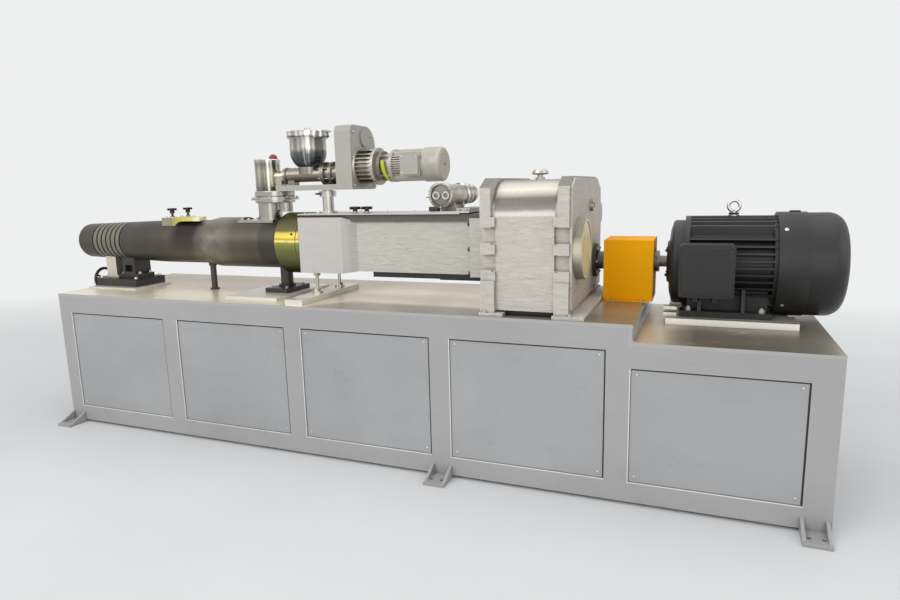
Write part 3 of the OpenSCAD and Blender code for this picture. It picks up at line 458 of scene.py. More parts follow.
@dataclass(frozen=True)
class DeckSteel(Finish):
    """The decks' oiled sheet, with broad soft bands of painted reflection, painted shadow beyond a line and
    in corners, and edges in the base's paint.
    """

    along: str
    low: float
    high: float
    stops: Stops
    pale_to: float = -9.0
    dark_from: float = 9.0

    def build(self) -> bpy.types.Material:
        """Builds the material.

        Returns:
            The material.
        """
        graph = Graph(self.name)
        drift = graph.levels(graph.noise(2.1, 3.0, (0.45, 1.2, 1.0)), 0.3, 0.7, -0.05, 0.05)
        # left of the pale line the ramp moves to its pale stops: painted reflection
        near = graph.levels(graph.axis("X"), self.pale_to - 0.1, self.pale_to + 0.1, 0.24, 0.0)
        # the ramp's stops are painted reflection bands, and on the motor deck also a painted shadow under the
        # motor
        place = graph.levels(graph.axis(self.along), self.low, self.high)
        color = graph.ramp(graph.plus(place, graph.plus(drift, near)), self.stops)
        color = graph.patches(color, srgb(176, 160, 134), 2.6, 6.0, 0.42, 0.72, 0.35, (0.8, 1.4, 1.0))
        shadow = graph.levels(graph.axis("X"), self.dark_from - 0.03, self.dark_from + 0.06, 0.0, 0.85)
        color = graph.mix(shadow, color, srgb(134, 118, 92))
        color = graph.patches(color, srgb(238, 230, 212), 19.0, 7.0, 0.6, 0.76, 0.3, (0.6, 1.0, 1.0))
        # painted shade in corners and crevices
        color = graph.nook_shade(color, srgb(70, 62, 52), 0.05, 0.7)
        edge = graph.levels(graph.facing("Z"), 0.8, 0.5)
        color = graph.mix(edge, color, srgb(170, 169, 167))
        metal = graph.levels(edge, 0.0, 1.0, 0.5, 0.0)
        lines = graph.noise(70.0, 4.0, (0.8, 5.0, 5.0))
        return graph.dress(color, graph.gloss(3.0, 5.0, 0.27, 0.42), metal, lines, 0.00005)


@dataclass(frozen=True)
class HeatedSteel(Finish):
    """The barrel's dark scaled steel: fine turning rings, bands of heat colour, a painted highlight patch, a
    painted shadow under the vent cover's arch and painted shade in corners.
    """

    color: Color
    # the span along X of the painted highlight patch
    highlight_from: float
    highlight_to: float
    grooves: tuple[float, float]
    arch: tuple[float, float, float]
    root: float

    def build(self) -> bpy.types.Material:
        """Builds the material.

        Returns:
            The material.
        """
        graph = Graph(self.name)
        heat = graph.levels(graph.noise(3.0, 3.0, (1.0, 0.15, 0.15)), 0.35, 0.68)
        color = graph.mix(heat, shade(self.color, 0.8), shade(self.color, 1.25))
        color = graph.patches(color, srgb(92, 72, 52), 5.0, 7.0, 0.52, 0.74, 0.45)
        # a bright patch along X, broken by noise: painted highlight
        highlight_spread = graph.levels(graph.noise(6.0, 6.0), 0.34, 0.7, 0.15, 0.9)
        painted_highlight = graph.times(graph.inside("X", self.highlight_from, self.highlight_to, 0.09), highlight_spread)
        color = graph.mix(painted_highlight, color, srgb(168, 163, 150))
        lands = graph.times(graph.inside("X", *self.grooves, 0.006), 0.6)
        color = graph.mix(lands, color, srgb(150, 146, 132))
        start, stop, level = self.arch
        # darker under the vent cover's arch: painted shadow
        shadow = graph.times(graph.inside("X", start, stop, 0.035),
                             graph.levels(graph.axis("Z"), level - 0.07, level + 0.05))
        # the painted shadow, broken by noise
        stain_and_shadow = graph.times(shadow, graph.levels(graph.noise(8.0, 4.0), 0.3, 0.5, 0.7, 1.0))
        color = graph.mix(stain_and_shadow, color, srgb(44, 36, 34))
        collar = graph.levels(graph.axis("X"), self.root - 0.135, self.root - 0.115, 0.0, 0.5)
        color = graph.mix(collar, color, srgb(48, 44, 44))
        # painted shade in corners and crevices
        color = graph.nook_shade(color, srgb(20, 18, 16), 0.012, 0.8)
        rings = graph.noise(60.0, 4.0, (6.0, 0.3, 0.3))
        return graph.dress(color, graph.levels(heat, 0.0, 1.0, 0.46, 0.32), 0.65, rings, 0.00025)


@dataclass(frozen=True)
class Banded(Finish):
    """Shiny metal whose colour drifts along one axis in soft bands: painted reflections and highlights on the
    flange, bowl, vessel and cooler, lighter and darker bands along the vent cover, reducer and small motor,
    and optional painted reflection streaks round an upright axis.
    """

    along: str
    low: float
    high: float
    stops: Stops
    roughness: float = 0.3
    metallic: float = 0.7
    blur: float = 0.1
    middle: tuple[float, float] | None = None
    streak: float = 0.6

    @classmethod
    def over(cls, node: str, name: str, along: str, stops: Stops, **more: object) -> "Banded":
        """Makes the finish for the whole length of a node along X, Y or Z."""
        box, i = box_of(node), "XYZ".index(along)
        return cls(name, along, box.low[i], box.high[i], stops, **more)

    def build(self) -> bpy.types.Material:
        """Builds the material.

        Returns:
            The material.
        """
        graph = Graph(self.name)
        drift = graph.levels(graph.noise(6.0, 5.0), 0.25, 0.75, -self.blur, self.blur)
        along = graph.levels(graph.axis(self.along), self.low, self.high)
        color = graph.ramp(graph.plus(along, drift), self.stops)
        grain = (4.0, 0.5, 0.5)
        if self.middle is not None:
            grain = (4.0, 4.0, 0.5)
            wave = graph.streaks(self.middle)
            up = graph.facing("Z")
            upright = graph.levels(graph.times(up, up), 0.9, 0.5, 0.25, 1.0)
            # dark and bright streaks round the upright axis: painted reflections
            for low, high, shine in ((0.52, 0.38, srgb(52, 54, 56)), (0.55, 0.64, srgb(250, 244, 230))):
                mask = graph.times(graph.levels(wave, low, high, 0.0, self.streak), upright)
                color = graph.mix(mask, color, shine)
        color = graph.patches(color, srgb(104, 92, 70), 22.0, 6.0, 0.58, 0.74, 0.35)
        color = graph.edges(color, srgb(244, 240, 228), 0.5)
        rough = graph.gloss(9.0, 4.0, self.roughness - 0.07, self.roughness + 0.12)
        return graph.dress(color, rough, self.metallic, graph.noise(48.0, 4.0, grain), 0.0001)


@dataclass(frozen=True)
class Turned(Finish):
    """Covers with a turned rim, painted lighter and darker by how it faces as painted highlight and shade,
    and a flat face of another colour; those behind a line are dark.
    """

    rim: Color
    face: Color
    dark: Color
    line: float

    def build(self) -> bpy.types.Material:
        """Builds the material.

        Returns:
            The material.
        """
        graph = Graph(self.name)
        # the rim is lighter or darker by how far it faces up: painted highlight and shade
        marks = ((0.0, 0.35), (0.3, 0.6), (0.48, 1.5), (0.58, 1.3), (0.72, 0.55), (1.0, 1.0))
        sheen = graph.ramp(graph.levels(graph.facing("Z"), -1.0, 1.0),
                           tuple((place, shade(self.rim, factor)) for place, factor in marks))
        swirl = graph.levels(graph.noise(14.0, 5.0), 0.35, 0.7)
        face = graph.mix(swirl, shade(self.face, 0.86), shade(self.face, 1.1))
        color = graph.mix(graph.levels(graph.facing("X"), 0.8, 0.95), sheen, face)
        color = graph.mix(graph.levels(graph.axis("Y"), self.line - 0.01, self.line + 0.01), color, self.dark)
        rings = graph.noise(90.0, 3.0, (3.0, 0.5, 0.5))
        return graph.dress(color, graph.levels(swirl, 0.0, 1.0, 0.5, 0.38), 0.15, rings, 0.00012)


@dataclass(frozen=True)
class Plastic(Finish):
    """Moulded plastic or black oxide with a fine skin."""

    color: Color
    roughness: float = 0.45
    dusty: float = 0.25

    def build(self) -> bpy.types.Material:
        """Builds the material.

        Returns:
            The material.
        """
        graph = Graph(self.name)
        color = graph.patches(self.color, srgb(96, 92, 86), 14.0, 6.0, 0.5, 0.75, self.dusty)
        rough = graph.gloss(30.0, 4.0, self.roughness - 0.06, self.roughness + 0.12)
        return graph.dress(color, rough, 0.0, graph.noise(600.0, 2.0), 0.0001)


# Ramps of colour stops; the deck bands are painted reflections
DECK_REFLECTION_BANDS = bands(
    (0.0, 172, 163, 150), (0.16, 176, 167, 154), (0.25, 248, 239, 216), (0.55, 244, 232, 208),
    (0.7, 208, 193, 171), (1.0, 178, 166, 147))
# painted shadow under the motor between painted reflection bands
MOTOR_DECK_SHADOW_AND_REFLECTION_BANDS = bands(
    (0.0, 214, 202, 178), (0.2, 190, 177, 154), (0.34, 116, 106, 94), (0.62, 112, 104, 92),
    (0.85, 132, 127, 115), (1.0, 156, 150, 138))
# painted reflection bands on the gearbox drum
DRUM_REFLECTION_BANDS = bands(
    (0.0, 226, 220, 208), (0.1, 208, 202, 190), (0.18, 130, 124, 115), (0.3, 106, 101, 95),
    (0.46, 118, 112, 104), (0.56, 192, 185, 172), (0.68, 232, 225, 209), (0.82, 196, 189, 175),
    (0.92, 120, 115, 106), (1.0, 102, 98, 91))
# chromate colour with painted reflection bands on the flange
FLANGE_REFLECTION_BANDS = bands(
    (0.0, 44, 44, 24), (0.2, 72, 74, 38), (0.42, 104, 110, 56), (0.53, 138, 138, 66), (0.56, 236, 226, 130),
    (0.59, 168, 146, 40), (0.63, 214, 194, 70), (0.69, 196, 172, 50), (0.72, 92, 88, 42), (1.0, 74, 72, 36))
VENT_BANDS = bands(
    (0.0, 150, 146, 130), (0.24, 146, 142, 124), (0.34, 176, 168, 84), (0.55, 208, 192, 84),
    (0.8, 214, 204, 120), (0.92, 244, 240, 208), (1.0, 226, 220, 180))
# painted reflection bands on the stainless bowl
BOWL_REFLECTION_BANDS = bands(
    (0.0, 84, 92, 100), (0.28, 88, 96, 104), (0.48, 124, 124, 120), (0.56, 196, 192, 182),
    (0.8, 164, 162, 154), (0.87, 100, 100, 96), (0.92, 232, 229, 221), (1.0, 206, 203, 196))
REDUCER_BANDS = bands(
    (0.0, 200, 196, 186), (0.09, 176, 171, 160), (0.14, 112, 106, 98), (0.68, 122, 116, 107),
    (0.78, 184, 179, 168), (1.0, 172, 167, 156))
FEED_MOTOR_BANDS = bands(
    (0.0, 160, 154, 144), (0.06, 104, 95, 90), (0.13, 112, 104, 96), (0.19, 168, 163, 153),
    (0.6, 172, 168, 158), (0.93, 166, 162, 151), (0.97, 186, 179, 163), (1.0, 180, 172, 155))
# painted reflection bands on the stainless vessel
VESSEL_REFLECTION_BANDS = bands(
    (0.0, 120, 114, 102), (0.25, 178, 170, 154), (0.6, 196, 188, 172), (0.85, 150, 146, 136),
    (1.0, 206, 202, 192))
# painted reflection bands on the oil cooler's ring
COOLER_REFLECTION_BANDS = bands(
    (0.0, 96, 92, 84), (0.3, 150, 145, 134), (0.55, 206, 201, 188), (0.75, 140, 136, 126),
    (1.0, 212, 208, 198))


class Palette:
    """The machine's finishes that need no place."""

    BASE = Enamel("base_paint", srgb(163, 163, 162), roughness=0.36, dust=0.16, edge=srgb(206, 206, 204))
    PANEL = Enamel("panel_paint", srgb(161, 162, 163), roughness=0.34, mottle=0.1, dust=0.2,
                   edge=srgb(228, 228, 226))
    # pale strips round the panels: painted highlight
    LIP_HIGHLIGHT = Enamel("lip_highlight_paint", srgb(226, 226, 224), roughness=0.34, dust=0.1)
    DECK = DeckSteel("deck_steel", "Y", -0.44, 0.44, DECK_REFLECTION_BANDS, pale_to=-0.22, dark_from=1.06)
    MOTOR_DECK = DeckSteel("motor_deck_steel", "X", 1.23, 2.02, MOTOR_DECK_SHADOW_AND_REFLECTION_BANDS)
    BLACK = Plastic("black_plastic", srgb(28, 27, 26), dusty=0.12)
    STAINLESS = Steel("stainless", srgb(168, 165, 156), roughness=0.26, grain=(1.5, 1.5, 0.6),
                      grain_depth=0.00002, stain_and_shadow=srgb(98, 92, 80), metallic=1.0)
    RED = Plastic("red_plastic", srgb(150, 24, 40), roughness=0.35)
    PAD = Steel("pad_steel", srgb(224, 220, 210), stain_and_shadow=srgb(150, 138, 118), stain_amount=0.3, metallic=0.45,
                bright=0.8)
    MILLED = Steel("milled_steel", srgb(198, 194, 186), roughness=0.28, stain_and_shadow=srgb(128, 116, 98))
    DARK_STEEL = Plastic("black_steel", srgb(38, 37, 35), roughness=0.36, dusty=0.18)
    DRAIN = Plastic("drain_steel", srgb(64, 56, 46), roughness=0.4)
    DARK_IRON = Plastic("black_iron", srgb(28, 27, 26), roughness=0.4, dusty=0.12)
    # the darker side colour is painted shade on the post's side faces
    POST = Enamel("post_paint", srgb(202, 196, 182), roughness=0.5, edge=srgb(226, 220, 206),
                  side=srgb(112, 109, 101))
    TUBE = Steel("tube_steel", srgb(138, 131, 120), roughness=0.3, stain_and_shadow=srgb(72, 58, 46), stain_amount=0.6)
    FEEDER = Enamel("feeder_paint", srgb(162, 160, 151), roughness=0.36, mottle=0.1, dust=0.25,
                    edge=srgb(224, 221, 212))
    GEARBOX = Putty("gearbox_paint", srgb(194, 189, 180))
    RIM = Enamel("rim_paint", srgb(92, 89, 84), roughness=0.55)
    PORT_PLATE = Enamel("port_plate_paint", srgb(126, 125, 117), roughness=0.34, mottle=0.12)
    PLATE = Steel("plate_metal", srgb(192, 188, 180), roughness=0.3, stain_and_shadow=srgb(132, 124, 110), metallic=0.55,
                  bright=0.95)
    GUARD = Enamel("guard_paint", srgb(254, 178, 0), roughness=0.6, mottle=0.03, dust=0.04,
                   edge=srgb(255, 204, 70), shine=0.12)
    COUPLING = Steel("coupling_steel", srgb(112, 108, 102), stain_and_shadow=srgb(60, 52, 44))
    MOTOR = Enamel("motor_paint", srgb(34, 34, 34), mottle=0.1, dust=0.1, edge=srgb(74, 74, 72), shine=0.4)
    # the near-white front face is a painted highlight and the darker side colour is painted shade
    RAIL_HIGHLIGHT = Enamel("rail_steel", srgb(250, 246, 238), roughness=0.3, mottle=0.06, dust=0.2,
                  edge=srgb(252, 250, 244), side=srgb(150, 144, 132))
    LIME = Plastic("lime_lead", srgb(186, 200, 40), roughness=0.5, dusty=0.1)


def add_object(name: str, data: bpy.types.ID) -> bpy.types.Object:
    """Adds an object to the scene.

    Args:
        name: its name.
        data: its mesh, lamp or camera.

    Returns:
        The object.
    """
    made = bpy.data.objects.new(name, data)
    bpy.context.scene.collection.objects.link(made)
    return made


class Sketch:
    """Collects the surfaces of one piece and turns them into an object that rides on a body."""

    SHARP = math.radians(32.0)

    def __init__(self, name: str) -> None:
        """Starts an empty piece of the given name."""
        self.name = name
        self.mesh = bmesh.new()

    def _skin(self, rings: Sequence[Sequence[bmesh.types.BMVert]]) -> None:
        """Joins each ring to the next and closes both ends.

        Args:
            rings: the rings of points; a ring of one point is a tip.
        """
        for low, high in zip(rings, rings[1:]):
            steps = max(len(low), len(high))
            for i in range(steps if steps > 1 else 0):
                k = (i + 1) % steps
                loop = (low[i % len(low)], low[k % len(low)], high[k % len(high)], high[i % len(high)])
                self.mesh.faces.new(tuple(dict.fromkeys(loop)))
        for ring in (rings[0][::-1], rings[-1]):
            if len(ring) > 1:
                self.mesh.faces.new(ring)

    def revolve(self, profile: Profile, place: Matrix, steps: int = 32) -> None:
        """Turns a profile about the Z axis of a placement.

        Args:
            profile: pairs of radius and height, from one end to the other.
            place: where the axis stands.
            steps: the number of steps round.
        """
        rings = []
        for radius, height in profile:
            angles = turns(steps) if radius > 0.0 else [0.0]
            points = [Vector((radius * math.cos(a), radius * math.sin(a), height)) for a in angles]
            rings.append([self.mesh.verts.new(place @ point) for point in points])
        self._skin(rings)

    def slab(self, low: Sequence[float], high: Sequence[float], soft: float) -> None:
        """Adds a block with softened edges.

        Args:
            low: its lowest corner.
            high: its highest corner.
            soft: the size of the softening.
        """
        size, middle = Vector(high) - Vector(low), (Vector(high) + Vector(low)) / 2.0
        place = Matrix.Translation(middle) @ Matrix.Diagonal((*size, 1.0))
        verts = bmesh.ops.create_cube(self.mesh, size=1.0, matrix=place)["verts"]
        edges = list({edge for vert in verts for edge in vert.link_edges})
        bmesh.ops.bevel(self.mesh, geom=edges, offset=soft, segments=2, affect="EDGES", profile=0.7)

    def pipe(self, route: Sequence[Vector], radius: float, steps: int) -> None:
        """Sweeps a round section along a route and closes both ends.

        Args:
            route: the points that it follows.
            radius: the radius of the section.
            steps: the number of steps round.
        """
        rings = []
        side = Vector(Facing.UP.value)
        for i, point in enumerate(route):
            ahead = (route[min(i + 1, len(route) - 1)] - route[max(i - 1, 0)]).normalized()
            side = side - ahead * side.dot(ahead)
            if side.length < TINY:
                side = ahead.orthogonal()
            side.normalize()
            other = ahead.cross(side)
            spokes = [side * (radius * math.cos(a)) + other * (radius * math.sin(a)) for a in turns(steps)]
            rings.append([self.mesh.verts.new(point + spoke) for spoke in spokes])
        self._skin(rings)

    def fastener(self, head: Head, size: float, seat: Matrix) -> None:
        """Adds the head of a bolt or screw of a thread diameter, with the seat's Z pointing out."""
        for steps, profile in head.value:
            self.revolve([(radius * size, height * size) for radius, height in profile], seat, steps)

    def bolts(self, head: Head, size: float, way: Facing, places: Iterable[Sequence[float]]) -> None:
        """Adds heads of bolts or screws of a thread diameter that look the same way."""
        for place in places:
            self.fastener(head, size, way.at(place))

    def radial(self, head: Head, size: float, center: Sequence[float], radius: float, count: int,
               start: float) -> None:
        """Adds screws round an axis along X, each of which looks away from it.

        Args:
            head: the kind of head.
            size: the thread diameter.
            center: the centre of their circle.
            radius: its radius.
            count: how many there are.
            start: the first angle, in degrees.
        """
        for place in circle_of(center, radius, count, Facing.RIGHT, start):
            self.fastener(head, size, looking(place, (0.0, place.y - center[1], place.z - center[2])))

    def finish(self, finish: Finish, slot: str = "", body: str = MACHINE) -> None:
        """Makes the object, dresses it and lets it ride on a body.

        Args:
            finish: its finish.
            slot: not used.
            body: the body that it moves with.
        """
        slot = slot or finish.name
        bmesh.ops.recalc_face_normals(self.mesh, faces=self.mesh.faces)
        data = bpy.data.meshes.new(self.name)
        self.mesh.to_mesh(data)
        self.mesh.free()
        for face in data.polygons:
            face.use_smooth = True
        data.set_sharp_from_angle(angle=self.SHARP)
        made = add_object(self.name, data)
        data.materials.append(material_of(finish))
        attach(made, body)
        LOG.info("piece %s: %d faces on %s", self.name, len(data.polygons), body)


def circle_of(center: Sequence[float], radius: float, count: int, across: Facing,
              start: float) -> list[Vector]:
    """Spreads points round a circle.

    Args:
        center: its centre.
        radius: its radius.
        count: how many points.
        across: the way the circle looks.
        start: the first angle, in degrees.

    Returns:
        The points.
    """
    place = across.at(center)
    angles = [math.radians(start) + turn for turn in turns(count)]
    return [place @ Vector((radius * math.cos(a), radius * math.sin(a), 0.0)) for a in angles]


class Box:
    """A box that stands square to the axes."""

    def __init__(self, low: Sequence[float], high: Sequence[float]) -> None:
        """Keeps the lowest and highest corner."""
        self.low, self.high = Vector(low), Vector(high)
        self.middle = (self.low + self.high) / 2.0

    def inset(self, axis: str, low: float, high: float | None = None) -> tuple[float, float]:
        """Returns the places that lie in from both sides along x, y or z, by one or by two lengths."""
        return getattr(self.low, axis) + low, getattr(self.high, axis) - (low if high is None else high)


def box_of(node: str) -> Box:
    """Returns the box of a CAD node."""
    return Box(*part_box(node))


def loose_parts(node: str) -> list[Box]:
    """Finds a CAD node's separate solids.

    Args:
        node: the node's name.

    Returns:
        The box of each solid, from left to right.
    """
    mesh = bmesh.new()
    mesh.from_mesh(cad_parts[node].data)
    bmesh.ops.remove_doubles(mesh, verts=mesh.verts, dist=TINY / 10.0)
    left = set(mesh.verts)
    boxes = []
    while left:
        stack = [left.pop()]
        points = []
        while stack:
            vert = stack.pop()
            points.append(tuple(vert.co))
            joined = {edge.other_vert(vert) for edge in vert.link_edges} & left
            left -= joined
            stack.extend(joined)
        boxes.append(Box([min(place) for place in zip(*points)], [max(place) for place in zip(*points)]))
    mesh.free()
    return sorted(boxes, key=lambda box: tuple(box.low))


class SubAssembly:
    """What the machine's sub-assemblies share."""

    FLAT_ANGLE = math.radians(0.6)
    SOFT_ANGLE = math.radians(38.0)

    def dress(self, finish: Finish, *nodes: str, edge: float = 0.0015) -> None:
        """Gives CAD nodes their finish and softens their edges.

        Args:
            finish: the finish.
            *nodes: the nodes' names.
            edge: the width of the softened edge, in metres.
        """
        material = material_of(finish)
        for name in nodes:
            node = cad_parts[name]
            for slot in node.material_slots:
                slot.material = material
            if not node.material_slots:
                node.data.materials.append(material)
            flat = node.modifiers.new("join_flats", "DECIMATE")
            flat.decimate_type = "DISSOLVE"
            flat.angle_limit = self.FLAT_ANGLE
            soft = node.modifiers.new("soft_edges", "BEVEL")
            soft.width = edge
            soft.segments = 2
            soft.limit_method = "ANGLE"
            soft.angle_limit = self.SOFT_ANGLE
            soft.harden_normals = False
            LOG.info("dressed %s as %s", name, finish.name)


@dataclass
class MachineBase(SubAssembly):
    """The panelled steel base with its decks and anchor feet."""

    screw: float = 0.006
    screw_inset: float = 0.022
    weld: float = 0.004
    gap: float = 0.004
    recess: float = 0.005
    lip: float = 0.003

    def build(self) -> None:
        """Dresses the base and adds its screws, the painted highlight and shadow strips round the panels, and
        welds.
        """
        self.dress(Palette.BASE, "side_walls", "end_walls", "anchor_feet")
        self.dress(Palette.PANEL, "panels")
        self.dress(Palette.DECK, "upper_deck")
        self.dress(Palette.MOTOR_DECK, "motor_deck")
        self._panel_screws()
        self._reveal_highlights_and_shadows()
        self._welds()

    def _panels(self) -> Iterator[tuple[Box, int, int, float, float]]:
        """Goes through the panels.

        Yields:
            The panel's box, the axis it runs along, the axis it looks along, the way it looks there
            (-1 or 1), and where its face is.
        """
        for box in loose_parts("panels"):
            size = box.high - box.low
            run, depth = (0, 1) if size.x > size.y else (1, 0)
            out = -1.0 if box.middle[depth] < 0.0 else 1.0
            yield box, run, depth, out, (box.low if out < 0.0 else box.high)[depth]

    @staticmethod
    def _spot(run: int, along: float, depth: int, level: float, up: float) -> Vector:
        """Makes a point from its places along a panel, out of it and up."""
        place = {run: along, depth: level, 2: up}
        return Vector((place[0], place[1], place[2]))

    def _panel_screws(self) -> None:
        """Adds a small screw in each corner of every panel."""
        sketch = Sketch("panel_screws")
        for box, run, depth, out, face in self._panels():
            way = Facing(tuple(out if i == depth else 0.0 for i in range(3)))
            corners = product(box.inset("z", self.screw_inset), box.inset("xy"[run], self.screw_inset))
            sketch.bolts(Head.PAN, self.screw, way, (self._spot(run, x, depth, face, z) for z, x in corners))
        sketch.finish(Palette.MILLED)

    def _reveal_highlights_and_shadows(self) -> None:
        """Adds pale strips along the panels' lower and near edges as painted highlights, and dark strips in
        the upper and far openings round them as painted shadow.
        """
        lip_highlights, gap_shadows = Sketch("panel_lip_highlights"), Sketch("panel_gap_shadows")
        gap, lip = self.gap, self.lip
        for box, run, depth, out, face in self._panels():
            wall = face + out * self.recess
            near, far, base, top = box.low[run], box.high[run], box.low.z, box.high.z
            edge = near - gap - lip
            # pale strips below and beside the panels are painted highlights; dark strips above and beside
            # them are painted shadow
            for sketch, start, stop, level, proud, sunk in (
                    (lip_highlights, (edge, base - gap - lip), (far + gap, base - gap + 0.0008), wall, 0.0006, 0.004),
                    (lip_highlights, (edge, base - gap), (near - gap + 0.0008, top + gap), wall, 0.0006, 0.004),
                    (gap_shadows, (near, top - lip), (far + gap, top + gap), face, 0.0004, 0.003),
                    (gap_shadows, (far - lip, base), (far + gap, top), face, 0.0005, 0.003)):
                levels = sorted((level + out * proud, level - out * sunk))
                sketch.slab(self._spot(run, start[0], depth, levels[0], start[1]),
                            self._spot(run, stop[0], depth, levels[1], stop[1]), 0.0004)
        lip_highlights.finish(Palette.LIP_HIGHLIGHT, "base_paint")
        gap_shadows.finish(Palette.DARK_IRON, "base_paint")

    def _welds(self) -> None:
        """Adds the ground weld beads along the step between the decks."""
        sketch = Sketch("deck_welds")
        deck = box_of("upper_deck")
        start, stop = deck.inset("y", 0.004)
        for x, z in ((deck.high.x + self.weld * 0.4, deck.high.z - 0.012),
                     (deck.high.x + 0.012, box_of("motor_deck").low.z + 0.015)):
            sketch.pipe([Vector((x + 0.0008 * math.sin(i * 2.1), start + (stop - start) * i / 60.0,
                                 z + 0.0006 * math.sin(i * 3.7))) for i in range(61)], self.weld * 0.7, 10)
        sketch.finish(Palette.MILLED, "deck_steel")


@dataclass
class BarrelLine(SubAssembly):
    """The tapered barrel with its flange, vent cover and supports."""

    pedestal_bolt: float = 0.0128
    post_bolt: float = 0.0096
    slide_bolt: float = 0.012
    vent_bolt: float = 0.008

    def build(self) -> None:
        """Dresses the barrel line and adds its bolts."""
        barrel, vent = box_of("barrel"), box_of("vent_cover")
        grooves = (barrel.low.x + 0.132, barrel.low.x + 0.372)
        arch = (vent.low.x + 0.1, vent.high.x, barrel.middle.z)
        root = box_of("barrel_flange").low.x
        self.dress(HeatedSteel("barrel_steel", srgb(80, 76, 69), -1.12, -0.97, grooves, arch, root), "barrel")
        self.dress(Banded.over("barrel_flange", "flange_chromate", "Z", FLANGE_REFLECTION_BANDS, roughness=0.36,
                               metallic=0.35, blur=0.012), "barrel_flange")
        self.dress(Banded.over("vent_cover", "vent_chromate", "X", VENT_BANDS, roughness=0.4, metallic=0.3,
                               blur=0.04), "vent_cover")
        self.dress(Palette.BLACK, "star_knobs", edge=0.002)
        self.dress(Palette.PAD, "deck_pads")
        self.dress(Palette.MILLED, "jack_rods")
        self.dress(Palette.DARK_STEEL, "front_slide", "front_pedestal", "rear_post")
        self.dress(Palette.DRAIN, "drain_pipe")
        self.dress(Palette.POST, "front_post")
        self.dress(Palette.DARK_IRON, "handwheel")
        self._support_bolts()
        self._knob_studs()

    def _support_bolts(self) -> None:
        """Adds the bolts that hold the supports down."""
        sketch = Sketch("support_bolts")
        for node, size, inset, lift in (("front_pedestal", self.pedestal_bolt, 0.013, 0.026),
                                        ("rear_post", self.post_bolt, 0.022, 0.024)):
            box = box_of(node)
            sketch.bolts(Head.HEX, size, Facing.UP,
                         product(box.inset("x", inset), box.inset("y", inset + 0.008), (box.low.z + lift,)))
        box = box_of("front_slide")
        sketch.bolts(Head.SOCKET, self.slide_bolt, Facing.UP,
                     product(box.inset("x", 0.055, 0.02), box.inset("y", 0.022), (box.high.z,)))
        sketch.finish(Palette.MILLED)

    def _knob_studs(self) -> None:
        """Adds the clamping knobs' bright washers and hub caps, and the screws of the vent cover."""
        sketch = Sketch("knob_studs")
        for knob in loose_parts("star_knobs"):
            x, y = knob.middle.xy
            sketch.revolve([(0.0142, 0.0), (0.0142, 0.0025), (0.0126, 0.0035), (0.0126, 0.006)],
                           Facing.UP.at((x, y, knob.low.z)))
            sketch.revolve([(0.0105, 0.0), (0.0105, 0.0012), (0.009, 0.0022), (0.0, 0.0026)],
                           Facing.UP.at((x, y, knob.high.z - 0.0004)), 28)
        vent = box_of("vent_cover")
        sketch.bolts(Head.SOCKET, self.vent_bolt, Facing.UP,
                     product((vent.low.x + 0.018, vent.low.x + 0.11), vent.inset("y", 0.02), (vent.high.z,)))
        sketch.finish(Palette.MILLED)


@dataclass
class FeedInlet(SubAssembly):
    """The stainless feed vessel, its clamp ring and the chute on the barrel."""

    chute_bolt: float = 0.009
    clamp_bolt: float = 0.007
    clamp_circle: float = 0.118

    def build(self) -> None:
        """Dresses the inlet and adds its bolts."""
        middle = tuple(box_of("feed_vessel").middle.xy)
        self.dress(Banded.over("feed_vessel", "vessel_steel", "Z", VESSEL_REFLECTION_BANDS, roughness=0.16, metallic=0.9,
                               middle=middle), "feed_vessel")
        self.dress(Palette.STAINLESS, "feed_chute", "feed_clamp")
        self.dress(Palette.RED, "vessel_cap")
        sketch = Sketch("inlet_fasteners")
        chute, clamp = box_of("feed_chute"), box_of("feed_clamp")
        sketch.bolts(Head.HEX, self.chute_bolt, Facing.UP,
                     product((chute.low.x + 0.018, chute.low.x + 0.06), chute.inset("y", 0.018),
                             (chute.low.z + 0.014,)))
        center = (clamp.middle.x, clamp.middle.y, clamp.low.z + 0.027)
        sketch.bolts(Head.HEX, self.clamp_bolt, Facing.UP,
                     circle_of(center, self.clamp_circle, 8, Facing.UP, 22.5))
        sketch.finish(Palette.MILLED)


